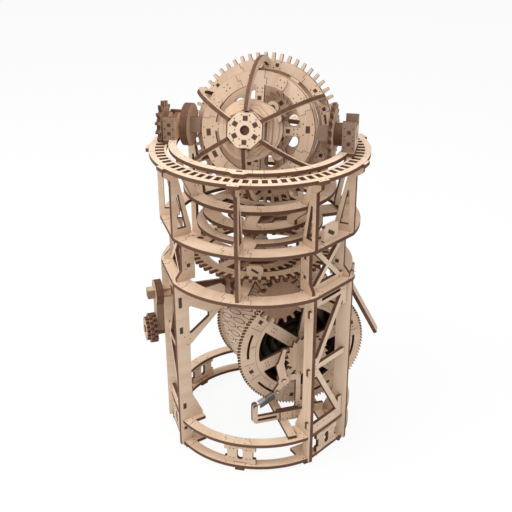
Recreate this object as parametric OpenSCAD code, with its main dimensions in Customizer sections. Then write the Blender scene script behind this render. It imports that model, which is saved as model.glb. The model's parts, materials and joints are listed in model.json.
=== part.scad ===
// Wooden mechanical table clock: a round plywood tower with a turning dial carriage,
// a cage that tumbles inside it, a spring drum below and a setting crank at its side.
// Millimetres, +Z up, origin on the tower's axis at the floor, front towards -Y.

/* [Stock] */
// Thickness of the plywood sheet
ply = 3; // [2.8:0.1:3.2]
// Clearance of plates in their slots and of glued shafts
slip = 0.05; // [0.02:0.01:0.1]
// Radial running clearance of turning shafts
run = 0.05; // [0.02:0.01:0.1]
// Gap between plates that turn past each other
pass = 0.4; // [0.3:0.1:0.8]

/* [Tower] */
// Height of the feet
foot_h = 3; // [2:0.5:5]
// Clear height between the two base rings
base_gap = 19.2; // [16:0.1:24]
// Clear height between the upper base ring and the mid shelf
lower_h = 131.1; // [130:0.1:140]
// Clear height between the mid shelf and the second shelf
mid_h = 37; // [35:0.5:45]
// Clear height between the second shelf and the dial
upper_h = 55.7; // [55:0.1:65]
// Outer radius of the base rings
base_out = 81; // [79.5:0.5:83]
// Radial width of the base rings
base_w = 9; // [8:0.5:11]
// Outer radius of the mid shelf
mid_out = 83.5; // [82:0.5:86]
// Radial width of the mid shelf
mid_w = 14.5; // [12:0.5:16]
// Outer radius of the second shelf
second_out = 82.5; // [81:0.5:85]
// Radial width of the second shelf
second_w = 14.5; // [12:0.5:15]
// Outer radius of the columns
col_out = 83.5; // [82.5:0.5:85]
// Radial width of a column
col_w = 12.5; // [11:0.5:14]
// Angle from the middle of a flat side to its two columns
col_half = 16.5; // [15:0.5:18]
// Distance of the side truss panels from the axis
truss_r = 74; // [73:0.5:75]
// Width of a truss bar
truss_bar = 5; // [4:0.5:7]
// Width of a base tab plate
tab_w = 27; // [20:1:32]
// Width of a foot
foot_w = 8; // [6:0.5:12]

/* [Dial] */
// Inner radius of the dial ring
dial_in = 74; // [73:0.2:75]
// Outer radius of the dial ring
dial_out = 88; // [86:0.5:90]
// Radius of the middle of the dial slots
slot_r = 79.5; // [79.2:0.1:79.8]
// Length of a dial slot
slot_len = 7; // [6:0.2:7.4]
// Width of a dial slot
slot_w = 4.2; // [4:0.1:4.4]
// Number of dial slots
slot_count = 72; // [72:1:72]

/* [Tourbillon] */
// Teeth of the roller gear that climbs through the dial slots
roller_teeth = 14; // [14:1:14]
// Upward tilt of the third axis at rest
tilt = 16; // [0:1:30]
// Pitch radius of the tourbillon gear
tour_r = 58; // [57.6:0.1:58.4]
// Teeth of the tourbillon gear
tour_teeth = 56; // [56:1:56]
// Teeth of the fixed side gear
side_teeth = 21; // [21:1:21]
// Radius of the cage axles
axle_r = 3; // [2.5:0.1:3.4]
// Outer radius of the cage ring
cage_out = 55; // [54:0.2:55.4]
// Radial width of the cage ring
cage_w = 8; // [6:0.5:9]
// Outer radius of the rib sphere
rib_r = 57; // [56:0.2:58]
// Width of a rib
rib_w = 5; // [4:0.5:6]
// Distance of the hub plate's front face from the centre
hub_front = 54; // [53:0.2:55]
// Radius across the corners of the hub plate
hub_r = 14; // [13:0.5:15]
// Outer radius of the core rings
core_out = 45; // [43:0.5:45.6]
// Radial width of the core rings
core_w = 11; // [9:0.5:12]
// Radius of the core's arbors
core_arbor_r = 2; // [1.6:0.1:2.4]
// Outer radius of the balance wheel
balance_out = 21.5; // [19:0.5:22.5]

/* [Train] */
// Pitch radius of the centre wheel
centre_r = 55.2; // [54.8:0.1:55.6]
// Teeth of the centre wheel
centre_teeth = 50; // [50:1:50]
// Teeth of the angle gear below the centre wheel
angle_teeth = 17; // [17:1:17]
// Teeth of the setting wheel
setting_teeth = 27; // [27:1:27]
// Teeth of the crank gear
crank_teeth = 18; // [18:1:18]
// Height of the centre wheel above the mid shelf
centre_lift = 5.7; // [5.5:0.1:7]
// Radius of the centre shaft
shaft_r = 5; // [4:0.5:6]
// Sideways offset of the spring drum's axis
drum_side = 24.7; // [24:0.1:25.4]
// Height of the spring drum's axis
drum_z = 92; // [91:0.2:93]
// Teeth of the drum's rims
drum_teeth = 120; // [120:1:120]
// Teeth of the pinion that the drum drives
pinion_teeth = 18; // [18:1:18]
// Length of the drum over both rims
drum_len = 68; // [60:1:70]
// Distance of the drum's front face from the tower's axis
drum_front = 39; // [38:0.5:40]
// Outer radius of the drum's shell
shell_out = 52; // [50:0.5:53]
// Wall of the drum's shell
shell_wall = 2; // [1.5:0.5:3]
// Radius of the drum's arbor
arbor_r = 4; // [3:0.5:5]
// Radius of the train arbor
train_arbor_r = 3; // [2.5:0.1:3.5]
// Tip radius of the ratchet wheel
ratchet_tip = 19; // [17:0.5:20]
// Number of ratchet teeth
ratchet_teeth = 20; // [16:1:24]

/* [Click] */
// Wire thickness of the click spring
wire_d = 0.8; // [0.6:0.1:1]
// Radius of the spring at the middle of its wire
coil_r = 3.2; // [2.6:0.1:3.6]
// Number of spring curls
coil_turns = 8; // [6:1:9]
// Radius of the pins that hold the spring
spring_pin_r = 1.2; // [1:0.1:1.5]
// Radius of the eyes round the spring's pins
eye_r = 2.5; // [2.2:0.1:3]
// Radius of the click's pivot pin
click_pin_r = 2; // [1.5:0.1:2.5]

/* [Crank] */
// Length of the crank arm between its two axes
crank_arm_len = 33; // [30:1:40]
// Radius of the crank shaft
crank_shaft_r = 4; // [3:0.5:4.5]
// Outer radius of the crank knob
knob_r = 12.5; // [11:0.5:13]
// Length of the stop lever
lever_len = 56; // [45:1:60]
// Width of the stop lever
lever_w = 10; // [8:0.5:14]

/* [Hidden] */
$fn = 64;
wood = "burlywood";
dark = "peru";
steel = "slategray";

// Levels of the undersides
z_base1 = foot_h;
z_base2 = z_base1 + ply + base_gap;
z_mid = z_base2 + ply + lower_h;
z_second = z_mid + ply + mid_h;
z_dial = z_second + ply + upper_h;

// Angles of the tower's three-sided plan
arcs = [-90, 30, 150];
flats = [-30, 90, 210];
col_angles = [for (f = flats) for (d = [-col_half, col_half]) f + d];
post_angles = concat(col_angles, arcs);
base_in = base_out - base_w;
base_mid = base_out - base_w / 2;
col_in = col_out - col_w;
mid_in = mid_out - mid_w;
second_in = second_out - second_w;

// Gear sizes that follow from the common tooth pitches
roller_r = roller_teeth * slot_r / slot_count;
axis_z = z_dial + ply / 2 + roller_r;
side_r = side_teeth * tour_r / tour_teeth;
tour_n = -side_r - ply / 2;
centre_z = z_mid + ply + centre_lift;
angle_r = angle_teeth * centre_r / centre_teeth;
train_z = centre_z + ply / 2 - angle_r;
setting_r = setting_teeth * centre_r / centre_teeth;
setting_z = centre_z - 2 * ply;
crank_r = crank_teeth * centre_r / centre_teeth;
crank_z = setting_z + ply / 2 - crank_r;
mesh_dx = -drum_side;
mesh_dz = train_z - drum_z;
mesh_gap = norm([mesh_dx, mesh_dz]);
mesh_angle = atan2(mesh_dz, mesh_dx);
drum_m = 2 * mesh_gap / (drum_teeth + pinion_teeth);
pinion_r = pinion_teeth * drum_m / 2;

// Tooth form shared by the plate gears that mesh at right angles
tooth_over = 0.95;
tooth_under = 0.8;
tooth_reach = ply / 2 + tooth_over;
tooth_depth = ply / 2 + tooth_under;
tooth_root_w = 3;
tooth_tip_w = 1.5;
wheel_tooth_w = 2.5;
wheel_reach = 2.5;
wheel_depth = 2.6;
roller_ease = 0.2;
shoulder_share = 0.35;
// A many-sided bore of a plate gear clears its shaft by this much more than the slip
flat_bore = 0.03;
bore_sides = 24;
hub_sides = 48;
rim_sides = 96;

// Places inside the tourbillon, measured along the third axis
ring_gap = 3.2;
core_gap = 13.8;
stack_h = 10;
ring_n = tour_n + ply + ring_gap;
cage_in = cage_out - cage_w;
wheel_n = ring_n + ply;
rear_n = wheel_n + ply + pass;
front_n = rear_n + ply + core_gap;
core_in = core_out - core_w;
pillar_r = core_out - core_w / 2;
hub_back = hub_front - ply;
stack_n = hub_back - stack_h;
disc_n = stack_n - ply;
disc_r = 23;
rib_angles = [for (k = [0:5]) 30 + 60 * k];
fixed_teeth = 36;
escape_pinion_teeth = 12;
escape_m = 0.85;
// Shares of a tooth's module: depth, reach, widths at root and tip, and the edge chamfer
deep = 1.25;
high = 0.8;
root_share = 1.65;
tip_share = 0.7;
fine_cham = 0.2;
escape_dist = (fixed_teeth + escape_pinion_teeth) * escape_m / 2;
escape_angle = 58;
escape_tip = 12.5;
escape_teeth = 15;
fork_angle = 313;
fork_dist = 25;
fork_clear = 0.8;
bridge_r = 9;

// Places along the second axis
side_x = tour_r - ply / 2;
tower_x = 66.5;
tower_w = 10;
tower_half = 9;
cheek_h = [18.5, 24];
roller_x = slot_r;
carriage_lift = 0.6;
low_ring_lift = 27.7;
base_lift = 3.3;
block_gap = 1.2;
carriage_z = z_dial + ply + carriage_lift;
carriage_in = 66;
carriage_out = 72.5;
carriage_low_z = z_second + low_ring_lift;
carriage_base_z = z_second + ply + base_lift;
yoke_angles = [40, 140, 220, 320];
leg_angles = [20, 80, 140, 200, 260, 320];
block_in = 46.8;
block_out = side_x - block_gap;

// Places along the drum's axis and the crank's axis
drum_back = drum_front - drum_len;
bracket_gap = 7;
bracket_t = drum_front + bracket_gap;
click_t = bracket_t + ply;
rear_bracket_t = drum_back - bracket_gap - ply;
bar_z = z_base2 + ply;
bar_offsets = [-20.5, 13];
bar_w = 7.5;
train_front = centre_r - ply / 2;
crank_gear_s = setting_r - ply / 2;
crank_stand = 8.5;
crank_arm_s = truss_r + ply + crank_stand;
spring_lift = 1.2;
// Places of the click from the drum's arbor, and of its spring from the click's pivot
click_pivot = [-20.1, -21.8];
spring_from = click_pivot + [-6.2, -9.2];
spring_to = click_pivot + [-25.4, -20.6];
lever_angle = 4;
lever_inset = 10;
lever_drop = 10.3;
lever_pivot = [mid_out - lever_inset, z_mid - lever_drop];
lever_lean = 29;

// A point at a radius and an angle
function polar(r, a) = [r * cos(a), r * sin(a)];

// A many-sided ring of points
function ring_pts(r, n, a0 = 0) = [for (i = [0:n - 1]) polar(r, a0 + 360 * i / n)];

// Half the angle that a width takes up at a radius
function half_angle(w, r) = asin(w / 2 / r);

// Outline of a gear whose teeth taper from root to tip and have a small chamfer
function gear_pts(n, root, tip, root_w, tip_w, a0 = 0, cham = 0.5) = [
    for (i = [0:n - 1])
        let (c = a0 + 360 * i / n, sh = tip - cham, sh_w = tip_w + (root_w - tip_w) * shoulder_share)
            each [
                polar(root, c - half_angle(root_w, root)),
                polar(sh, c - half_angle(sh_w, sh)),
                polar(tip, c - half_angle(tip_w, tip)),
                polar(tip, c + half_angle(tip_w, tip)),
                polar(sh, c + half_angle(sh_w, sh)),
                polar(root, c + half_angle(root_w, root))]];

// Outline of a fine gear of a given module
function fine_gear_pts(n, m, a0) = gear_pts(n, m * (n / 2 - deep), m * (n / 2 + high),
    m * root_share, m * tip_share, a0, fine_cham);

// Outline of a straight bar between two points
function bar_pts(p, q, w) =
    let (d = (q - p) / norm(q - p), o = [-d[1], d[0]] * w / 2)
        [p - o, q - o, q + o, p + o];

// Frames of reference
module in_tour() {
    translate([0, 0, axis_z]) rotate([90 - tilt, 0, 0]) children();
}
module in_drum() {
    translate([drum_side * cos(30), drum_side * sin(30), drum_z])
        rotate([0, 0, 30]) rotate([90, 0, 0]) children();
}
module in_train() {
    translate([0, 0, train_z]) rotate([0, 0, 30]) rotate([90, 0, 0]) children();
}
module in_crank() {
    translate([0, 0, crank_z]) rotate([0, 0, -60]) rotate([90, 0, 0]) children();
}
module in_lever() {
    rotate([0, 0, lever_angle]) translate([lever_pivot[0], 0, lever_pivot[1]])
        rotate([90, 0, 0]) children();
}
module along_x(x) {
    translate([x, 0, axis_z]) rotate([90, 0, 90]) children();
}
module at_angles(list) {
    for (a = list) rotate([0, 0, a]) children();
}

// Flat outlines
module bar2d(p, q, w) {
    polygon(bar_pts(p, q, w));
}
module ring2d(r0, r1) {
    difference() {
        circle(r1);
        circle(r0);
    }
}
module slot2d(len, w) {
    square([len - w, w], center = true);
    for (d = [-1, 1]) translate([d * (len - w) / 2, 0]) circle(w / 2);
}
module tower_ring2d(r0, r1) {
    difference() {
        ring2d(r0, r1);
        at_angles(flats) translate([r1 * cos(col_half), -r1]) square([r1, 2 * r1]);
    }
}

// A plate that stands on a radius of the tower, outline in radius and height
module radial_shape() {
    rotate([90, 0, 0]) translate([0, 0, -ply / 2]) linear_extrude(ply) children();
}
module radial_plate(pts) {
    radial_shape() polygon(pts);
}

// A plate that faces outwards at a distance from the tower's axis
module facing_plate(r, t = ply) {
    translate([r, 0, 0]) rotate([90, 0, 90]) linear_extrude(t) children();
}

// Tower

foot_len = 7;
module feet() {
    color(dark) at_angles(post_angles)
        translate([base_mid - foot_len / 2, -foot_w / 2, 0]) cube([foot_len, foot_w, foot_h]);
}

ring_pad_w = 13;
module base_ring(z) {
    translate([0, 0, z]) linear_extrude(ply) difference() {
        union() {
            tower_ring2d(base_in, base_out);
            at_angles(col_angles) translate([col_in - col_toe, -ring_pad_w / 2])
                square([base_mid - col_in + col_toe, ring_pad_w]);
        }
        at_angles(col_angles) translate([base_mid - slip, -ply / 2 - slip])
            square([base_w, ply + 2 * slip]);
    }
}
module base_lower_ring() {
    color(wood) base_ring(z_base1);
}
module base_upper_ring() {
    color(wood) base_ring(z_base2);
}

// Plates between the base rings: wide bands at top and bottom, a waist with an oblong slot
tab_band = 5.8;
tab_waist = 2.5;
tab_slot_len = 11;
tab_slot_w = 5;
module base_tabs() {
    waist_w = tab_w - 2 * tab_waist;
    color(wood) at_angles(concat(flats, arcs))
        facing_plate(base_mid - ply / 2) translate([0, z_base1 + ply]) difference() {
            union() {
                translate([-waist_w / 2, 0]) square([waist_w, base_gap]);
                for (z = [0, base_gap - tab_band]) translate([-tab_w / 2, z]) square([tab_w, tab_band]);
            }
            translate([0, base_gap / 2]) rotate(90) slot2d(tab_slot_len, tab_slot_w);
        }
}

// Two bars on the upper base ring that carry the drum's brackets
bar_lap = 5.5;
module base_crossbar() {
    color(wood) difference() {
        for (d = bar_offsets) let (at = drum_side + d, far = abs(at) + bar_w / 2,
            reach = sqrt(pow(base_in + bar_lap, 2) - pow(far, 2)))
            rotate([0, 0, 30]) translate([at - bar_w / 2, -reach, bar_z]) cube([bar_w, 2 * reach, ply]);
        at_angles(flats) translate([truss_r - slip, -base_out, bar_z - ply])
            cube([base_out, 2 * base_out, 3 * ply]);
    }
}

// Columns notched round the base rings, two of them with a gusset under the mid shelf
col_toe = 9.5;
col_toe_h = 3;
col_toe_taper = 21;
col_notch = 2;
col_foot_z = z_base2 + ply;
col_pts = [
    [col_out, z_base1], [col_out, z_mid], [col_in, z_mid],
    [col_in, col_foot_z + col_toe_h + col_toe_taper], [col_in - col_toe, col_foot_z + col_toe_h],
    [col_in - col_toe, col_foot_z], [base_mid, col_foot_z],
    [base_mid, z_base2 - slip], [col_in + col_notch, z_base2 - slip],
    [col_in + col_notch, z_base1 + ply], [base_mid, z_base1 + ply], [base_mid, z_base1]];
gusset_reach = 35;
gusset_h = 58;
gusset_gap = 9;
gusset_tip_h = 20;
gusset_cut = 4;
gusset_hole_len = 19;
gusset_hole_low = 11;
gusset_hole_h = 25;
module gusset2d() {
    top = z_mid - gusset_gap;
    low = z_mid - gusset_h;
    tip = col_in - gusset_reach;
    hole = low + gusset_hole_low;
    hole_tip = col_in - gusset_hole_len;
    hole_mid = hole + gusset_hole_h / 2;
    difference() {
        polygon([[col_in, low], [tip, top - gusset_tip_h], [tip, top - gusset_cut],
            [tip + gusset_cut, top], [col_in, top]]);
        polygon([[col_in, hole], [col_in - gusset_cut / 2, hole],
            [hole_tip, hole_mid - gusset_cut / 2], [hole_tip, hole_mid + gusset_cut / 2],
            [col_in - gusset_cut / 2, hole + gusset_hole_h], [col_in, hole + gusset_hole_h]]);
    }
}
module columns() {
    color(wood) for (a = col_angles) rotate([0, 0, a]) radial_shape() {
        polygon(col_pts);
        if (a == flats[1] + col_half || a == flats[2] + col_half) gusset2d();
    }
}

// Truss panels of the three flat sides; the crank's side has a strap that bears its shaft,
// the other two have a slot in the top rail
truss_top = 9;
truss_slot_len = 24;
truss_slot_w = 2.6;
truss_foot = 9;
truss_stub = 20;
truss_knee = 18;
truss_lap = 6;
crank_boss = 6;
crank_strap = 2;
truss_half = truss_r * tan(col_half) - ply / 2 / cos(col_half) - slip;
module truss2d() {
    z0 = z_base2 + ply;
    zm = (z0 + z_mid) / 2;
    side = truss_half - truss_bar / 2;
    translate([-truss_half, z_mid - truss_top]) square([2 * truss_half, truss_top]);
    translate([-truss_half, z0]) square([2 * truss_half, truss_foot]);
    translate([-truss_half, zm - truss_bar / 2]) square([2 * truss_half, truss_bar]);
    bar2d([side, z_mid - truss_lap], [-side, zm], truss_bar);
    bar2d([-side, zm], [side, z0 + truss_lap], truss_bar);
    translate([-truss_half, zm - truss_knee / 2]) square([truss_bar, truss_knee]);
    for (z = [z0, z_mid - truss_stub])
        translate([truss_half - truss_bar, z]) square([truss_bar, truss_stub]);
}
module crank_truss2d() {
    difference() {
        union() {
            truss2d();
            translate([0, crank_z]) circle(crank_shaft_r + crank_boss);
            translate([-crank_shaft_r - crank_strap, crank_z])
                square([2 * (crank_shaft_r + crank_strap), z_mid - crank_z]);
        }
        translate([0, crank_z]) circle(crank_shaft_r + run);
    }
}
module plain_truss2d() {
    difference() {
        truss2d();
        translate([0, z_mid - truss_top / 2]) slot2d(truss_slot_len, truss_slot_w);
    }
}
module side_trusses() {
    color(wood) for (f = flats) rotate([0, 0, f]) facing_plate(truss_r) {
        if (f == flats[2]) crank_truss2d();
        else plain_truss2d();
    }
}

// Mid shelf, whose arc behind the lever is set in
back_arc = arcs[1];
back_inset = 5.5;
back_end = 3.5;
back_half = 60 - col_half - back_end;
module mid_shelf() {
    far = 2 * mid_out;
    color(wood) translate([0, 0, z_mid]) linear_extrude(ply) difference() {
        tower_ring2d(mid_in, mid_out);
        intersection() {
            ring2d(mid_out - back_inset, far);
            polygon([[0, 0], polar(far, back_arc - back_half), polar(far, back_arc + back_half)]);
        }
    }
}

// Posts between the shelves, with a toe and two tenon holes, and one fin on each arc
post_w = 11.5;
post_in_lap = 4;
post_out = second_in - post_in_lap + post_w;
post_toe = 5;
post_toe_h = 3;
post_toe_taper = 6;
post_holes = [0.34, 0.79];
fin_w = 6;
fin_inset = 1;
function fin_out(a) = second_out - fin_inset - (a == back_arc ? back_inset : 0);
function fin_in(a) = fin_out(a) - fin_w;
fin_toe_h = 5;
fin_toe_taper = 9;
module mid_posts() {
    z0 = z_mid + ply;
    toe_z = z0 + post_toe_h;
    color(wood) {
        at_angles(col_angles) radial_shape() difference() {
            polygon([[post_out - post_w, z0], [post_out + post_toe, z0], [post_out + post_toe, toe_z],
                [post_out, toe_z + post_toe_taper], [post_out, z_second], [post_out - post_w, z_second]]);
            for (share = post_holes)
                translate([post_out - post_w / 2, z0 + mid_h * share]) square(ply, center = true);
        }
        for (a = arcs) rotate([0, 0, a]) radial_plate([[mid_truss_r, z0], [fin_out(a), z0],
            [fin_out(a), z_second], [fin_in(a), z_second],
            [fin_in(a), z0 + fin_toe_h + fin_toe_taper], [mid_truss_r, z0 + fin_toe_h]]);
    }
}

// Crossed panels between the shelves
mid_truss_inset = 1;
mid_truss_r = mid_in + mid_truss_inset;
mid_truss_half = mid_truss_r * tan(col_half) - ply / 2 / cos(col_half) - slip;
mid_truss_bar = 4;
module mid_trusses() {
    side = mid_truss_half - mid_truss_bar * 0.75;
    low = mid_truss_bar / 2;
    high = mid_h - mid_truss_bar / 2;
    color(wood) at_angles(flats) facing_plate(mid_truss_r) translate([0, z_mid + ply]) {
        translate([-mid_truss_half, 0]) square([2 * mid_truss_half, truss_bar]);
        translate([-mid_truss_half, mid_h - mid_truss_bar]) square([2 * mid_truss_half, mid_truss_bar]);
        for (d = [-1, 1]) bar2d([-d * side, low], [d * side, high], mid_truss_bar);
    }
}

module second_shelf() {
    color(wood) translate([0, 0, z_second]) linear_extrude(ply) tower_ring2d(second_in, second_out);
}

// Upper bearing of the centre shaft: a hub on three spokes inside a ring held by the fins
bearing_r = 52;
bearing_w = 8;
bearing_hub = 7;
spoke_w = 8;
spoke_lap = 2;
bearing_tab_w = 18;
module centre_bearing() {
    color(wood) translate([0, 0, z_second - ply]) linear_extrude(ply) difference() {
        union() {
            ring2d(bearing_r - bearing_w, bearing_r);
            circle(shaft_r + bearing_hub);
            for (a = arcs) rotate(a) {
                translate([shaft_r + spoke_lap, -spoke_w / 2])
                    square([bearing_r - shaft_r - 2 * spoke_lap, spoke_w]);
                translate([bearing_r - spoke_lap, -bearing_tab_w / 2])
                    square([fin_in(a) - slip - bearing_r + spoke_lap, bearing_tab_w]);
            }
        }
        circle(shaft_r + run);
    }
}

// Lower bearing: a plate on three arms under the mid shelf, with two rails for the hangers
plate_r = 26;
arm_lap = 6;
hanger_out = 21.5;
rail_gap = 1.5;
rail_in = pinion_r + drum_m + rail_gap;
rail_w = 4;
rail_start = 10;
hanger_gap = 4.7;
rail_end = train_front - hanger_gap;
module lower_bearing() {
    color(wood) translate([0, 0, z_mid - ply]) linear_extrude(ply) difference() {
        union() {
            circle(plate_r);
            at_angles(arcs) translate([plate_r - arm_lap, -spoke_w / 2])
                square([mid_in - plate_r + 2 * arm_lap, spoke_w]);
            rotate(-60) for (d = [-1, 1])
                translate([rail_start, d * (rail_in + rail_w / 2) - rail_w / 2])
                    square([rail_end - rail_start, rail_w]);
        }
        circle(shaft_r + run);
    }
}

hanger_back = 10;
train_hangers = [drum_front - ply - hanger_back, rail_end - ply];
hanger_wall = 3;
hanger_bar = 3.5;
hanger_top = 4;
crank_hanger_wall = 4;
module arbor_hangers() {
    half = rail_in + rail_w;
    top = z_mid - ply - train_z;
    eye = train_arbor_r + hanger_wall;
    crank_eye = crank_shaft_r + crank_hanger_wall;
    color(wood) {
        for (t = train_hangers) in_train() translate([0, 0, t]) linear_extrude(ply) difference() {
            union() {
                circle(eye);
                translate([-eye, 0]) square([2 * eye, hanger_wall]);
                translate([-half, top - hanger_top]) square([2 * half, hanger_top]);
                for (d = [-1, 1])
                    bar2d([0, 0], [d * (half - hanger_top / 2), top - hanger_top / 2], hanger_bar);
            }
            circle(train_arbor_r + run);
        }
        in_crank() translate([0, 0, hanger_out - ply]) linear_extrude(ply) difference() {
            union() {
                circle(crank_eye);
                translate([-crank_eye, 0]) square([2 * crank_eye, z_mid - ply - crank_z]);
            }
            circle(crank_shaft_r + run);
        }
    }
}

// Nine frames that carry the dial, each with a slanted inner edge and a three-cornered hole
frame_foot_h = 5;
frame_bar = 4.5;
frame_toe = 2;
frame_head = 5;
frame_head_taper = 4;
frame_notch = 3;
frame_hole_share = 0.62;
frame_hole_gap = 1;
module a_frames() {
    z0 = z_second + ply;
    foot_in = second_in - frame_toe;
    neck = dial_in + frame_toe;
    seat = slot_r + slot_len / 2 + pass;
    hole_low = z0 + frame_foot_h + frame_hole_gap;
    hole_top = z0 + upper_h * frame_hole_share;
    color(wood) at_angles(post_angles) radial_shape() difference() {
        polygon([[foot_in, z0], [second_out, z0], [second_out, z_dial - frame_head - frame_head_taper],
            [dial_out, z_dial - frame_head], [dial_out, z_dial], [seat, z_dial],
            [seat, z_dial - frame_notch], [neck, z_dial - frame_notch],
            [neck, z_dial - frame_notch - frame_head_taper], [foot_in, z0 + frame_foot_h]]);
        polygon([[foot_in + frame_bar, hole_low], [second_out - frame_bar, hole_low],
            [second_out - frame_bar, hole_top], [second_out - frame_bar - frame_toe, hole_top]]);
    }
}

dial_sides = 144;
dial_tab = 2.5;
dial_tab_w = 9;
dial_tab_lap = 5;
module dial_ring() {
    color(wood) translate([0, 0, z_dial]) linear_extrude(ply) difference() {
        union() {
            polygon(ring_pts(dial_out, dial_sides));
            at_angles(post_angles) translate([dial_out - dial_tab_lap, -dial_tab_w / 2])
                square([dial_tab_lap + dial_tab, dial_tab_w]);
        }
        polygon(ring_pts(dial_in, dial_sides));
        at_angles([for (i = [0:slot_count - 1]) 360 * i / slot_count])
            translate([slot_r - slot_len / 2, -slot_w / 2]) square([slot_len, slot_w]);
    }
}

// Outline of a drum bracket, seen along the drum's axis with the arbor at the origin
bracket_boss = 7;
bracket_half = 8.2;
bracket_bar = 4.5;
bracket_sole_h = 7;
bracket_sole_over = 1;
bracket_foot_h = 14;
bracket_head_h = 16;
click_arm_w = 6;
click_boss = 2.5;
module bracket2d(arm) {
    foot = bar_z + ply - drum_z;
    hole_half = bracket_half - bracket_bar;
    sole_from = bar_offsets[0] - bar_w / 2 - bracket_sole_over;
    sole_to = bar_offsets[1] + bar_w / 2 + bracket_sole_over;
    difference() {
        union() {
            circle(arbor_r + bracket_boss);
            translate([-bracket_half, foot]) square([2 * bracket_half, -foot]);
            translate([sole_from, foot]) square([sole_to - sole_from, bracket_sole_h]);
            if (arm) {
                for (rise = [0, bracket_head_h])
                    bar2d(click_pivot, [click_arm_w / 2 - bracket_half, click_pivot[1] + rise],
                        click_arm_w);
                translate(click_pivot) circle(click_pin_r + click_boss);
            }
        }
        circle(arbor_r + run);
        translate([-hole_half, foot + bracket_foot_h])
            square([2 * hole_half, -foot - bracket_foot_h - bracket_head_h]);
    }
}
click_pin_end = 1.5;
module drum_front_bracket() {
    color(wood) in_drum() {
        translate([0, 0, bracket_t]) linear_extrude(ply) difference() {
            bracket2d(true);
            translate(click_pivot) circle(click_pin_r + slip);
        }
        translate([click_pivot[0], click_pivot[1], bracket_t])
            cylinder(r = click_pin_r, h = 2 * ply + pass + click_pin_end);
    }
}
module drum_rear_bracket() {
    color(wood) in_drum() translate([0, 0, rear_bracket_t]) linear_extrude(ply) bracket2d(false);
}

// Upright arm with a hooked end that holds the click spring
arm_w = 7;
arm_neck_w = 5;
arm_set = 2;
arm_slot_at = 9;
arm_slot_len = 17;
arm_slot_w = 2.4;
arm_plate_at = 20;
arm_plate_len = 21;
arm_plate_h = 9;
module spring_arm() {
    foot = bar_z + ply - drum_z;
    root = [spring_to[0] + arm_set, foot];
    color(wood) in_drum() {
        translate([0, 0, click_t]) linear_extrude(ply) difference() {
            union() {
                translate(root) square([-spring_to[0], arm_w]);
                translate(root + [0, arm_w / 2]) circle(arm_w / 2);
                bar2d([spring_to[0], foot + arm_w / 2], spring_to, arm_neck_w);
                translate(spring_to) circle(eye_r);
            }
            translate(spring_to) circle(spring_pin_r + slip);
            translate(root + [arm_slot_at, arm_w / 2]) slot2d(arm_slot_len, arm_slot_w);
        }
        translate([root[0] + arm_plate_at, root[1], click_t + ply])
            cube([arm_plate_len, arm_plate_h, ply]);
        translate([spring_to[0], spring_to[1], click_t])
            cylinder(r = spring_pin_r, h = ply + pass + 2 * spring_lift);
    }
}

lever_pin_r = 2;
lever_boss = 3;
cheek_gap = lever_w / 2 + pass;
cheek_half = 6;
module lever_bracket() {
    top = z_mid - lever_pivot[1];
    color(wood) in_lever() {
        for (d = [-1, 1]) translate([0, 0, d * (cheek_gap + ply / 2) - ply / 2]) linear_extrude(ply)
            difference() {
                union() {
                    circle(lever_pin_r + lever_boss);
                    translate([-cheek_half, 0]) square([2 * cheek_half, top]);
                }
                circle(lever_pin_r + slip);
            }
        translate([0, 0, -cheek_gap - ply]) cylinder(r = lever_pin_r, h = 2 * (cheek_gap + ply));
    }
}

// Carriage that turns on the tower's axis

pad_over = 1;
pad_half = tower_half + ply + pad_over;
pointer_reach = 3;
pointer_root = 2;
pointer_half = 8;
pointer_tip_half = 3;
module carriage_ring() {
    color(wood) translate([0, 0, carriage_z]) linear_extrude(ply) difference() {
        union() {
            circle(carriage_out);
            for (d = [-1, 1]) translate([d * (tower_x + tower_w / 2), 0])
                square([tower_w, 2 * pad_half], center = true);
            rotate(-90) polygon([polar(carriage_out - pointer_root, -pointer_half),
                polar(carriage_out + pointer_reach, -pointer_tip_half),
                polar(carriage_out + pointer_reach, pointer_tip_half),
                polar(carriage_out - pointer_root, pointer_half)]);
        }
        circle(carriage_in);
    }
}

// Pairs of cheeks with tenon holes, lower on the left, joined by two round-topped bearing plates
cheek_holes = [0.28, 0.66];
module axle_towers() {
    z0 = carriage_z + ply;
    color(wood) for (side = [0, 1]) mirror([1 - side, 0, 0]) {
        for (e = [-1, 1])
            translate([tower_x, e * (tower_half + ply / 2) + ply / 2, z0]) rotate([90, 0, 0])
                linear_extrude(ply) difference() {
                    square([tower_w, cheek_h[side]]);
                    for (share = cheek_holes)
                        translate([tower_w / 2, cheek_h[side] * share]) square(ply, center = true);
                }
        for (x = [tower_x, tower_x + tower_w - ply])
            translate([x, 0, 0]) rotate([90, 0, 90]) linear_extrude(ply) difference() {
                union() {
                    translate([-tower_half, z0]) square([2 * tower_half, axis_z - z0]);
                    translate([0, axis_z]) circle(tower_half);
                }
                translate([0, axis_z]) circle(axle_r + run);
            }
    }
}

sleeve_r = 9;
module side_gear() {
    // A tooth points at the tourbillon gear, away from the third axis
    color(dark) {
        along_x(side_x) linear_extrude(ply) difference() {
            polygon(gear_pts(side_teeth, side_r - tooth_depth, side_r + tooth_reach,
                tooth_root_w, tooth_tip_w, -tilt));
            polygon(ring_pts(axle_r + pass, bore_sides));
        }
        along_x(side_x + ply) linear_extrude(tower_x - side_x - ply) difference() {
            circle(sleeve_r);
            polygon(ring_pts(axle_r + pass, bore_sides));
        }
    }
}

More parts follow.
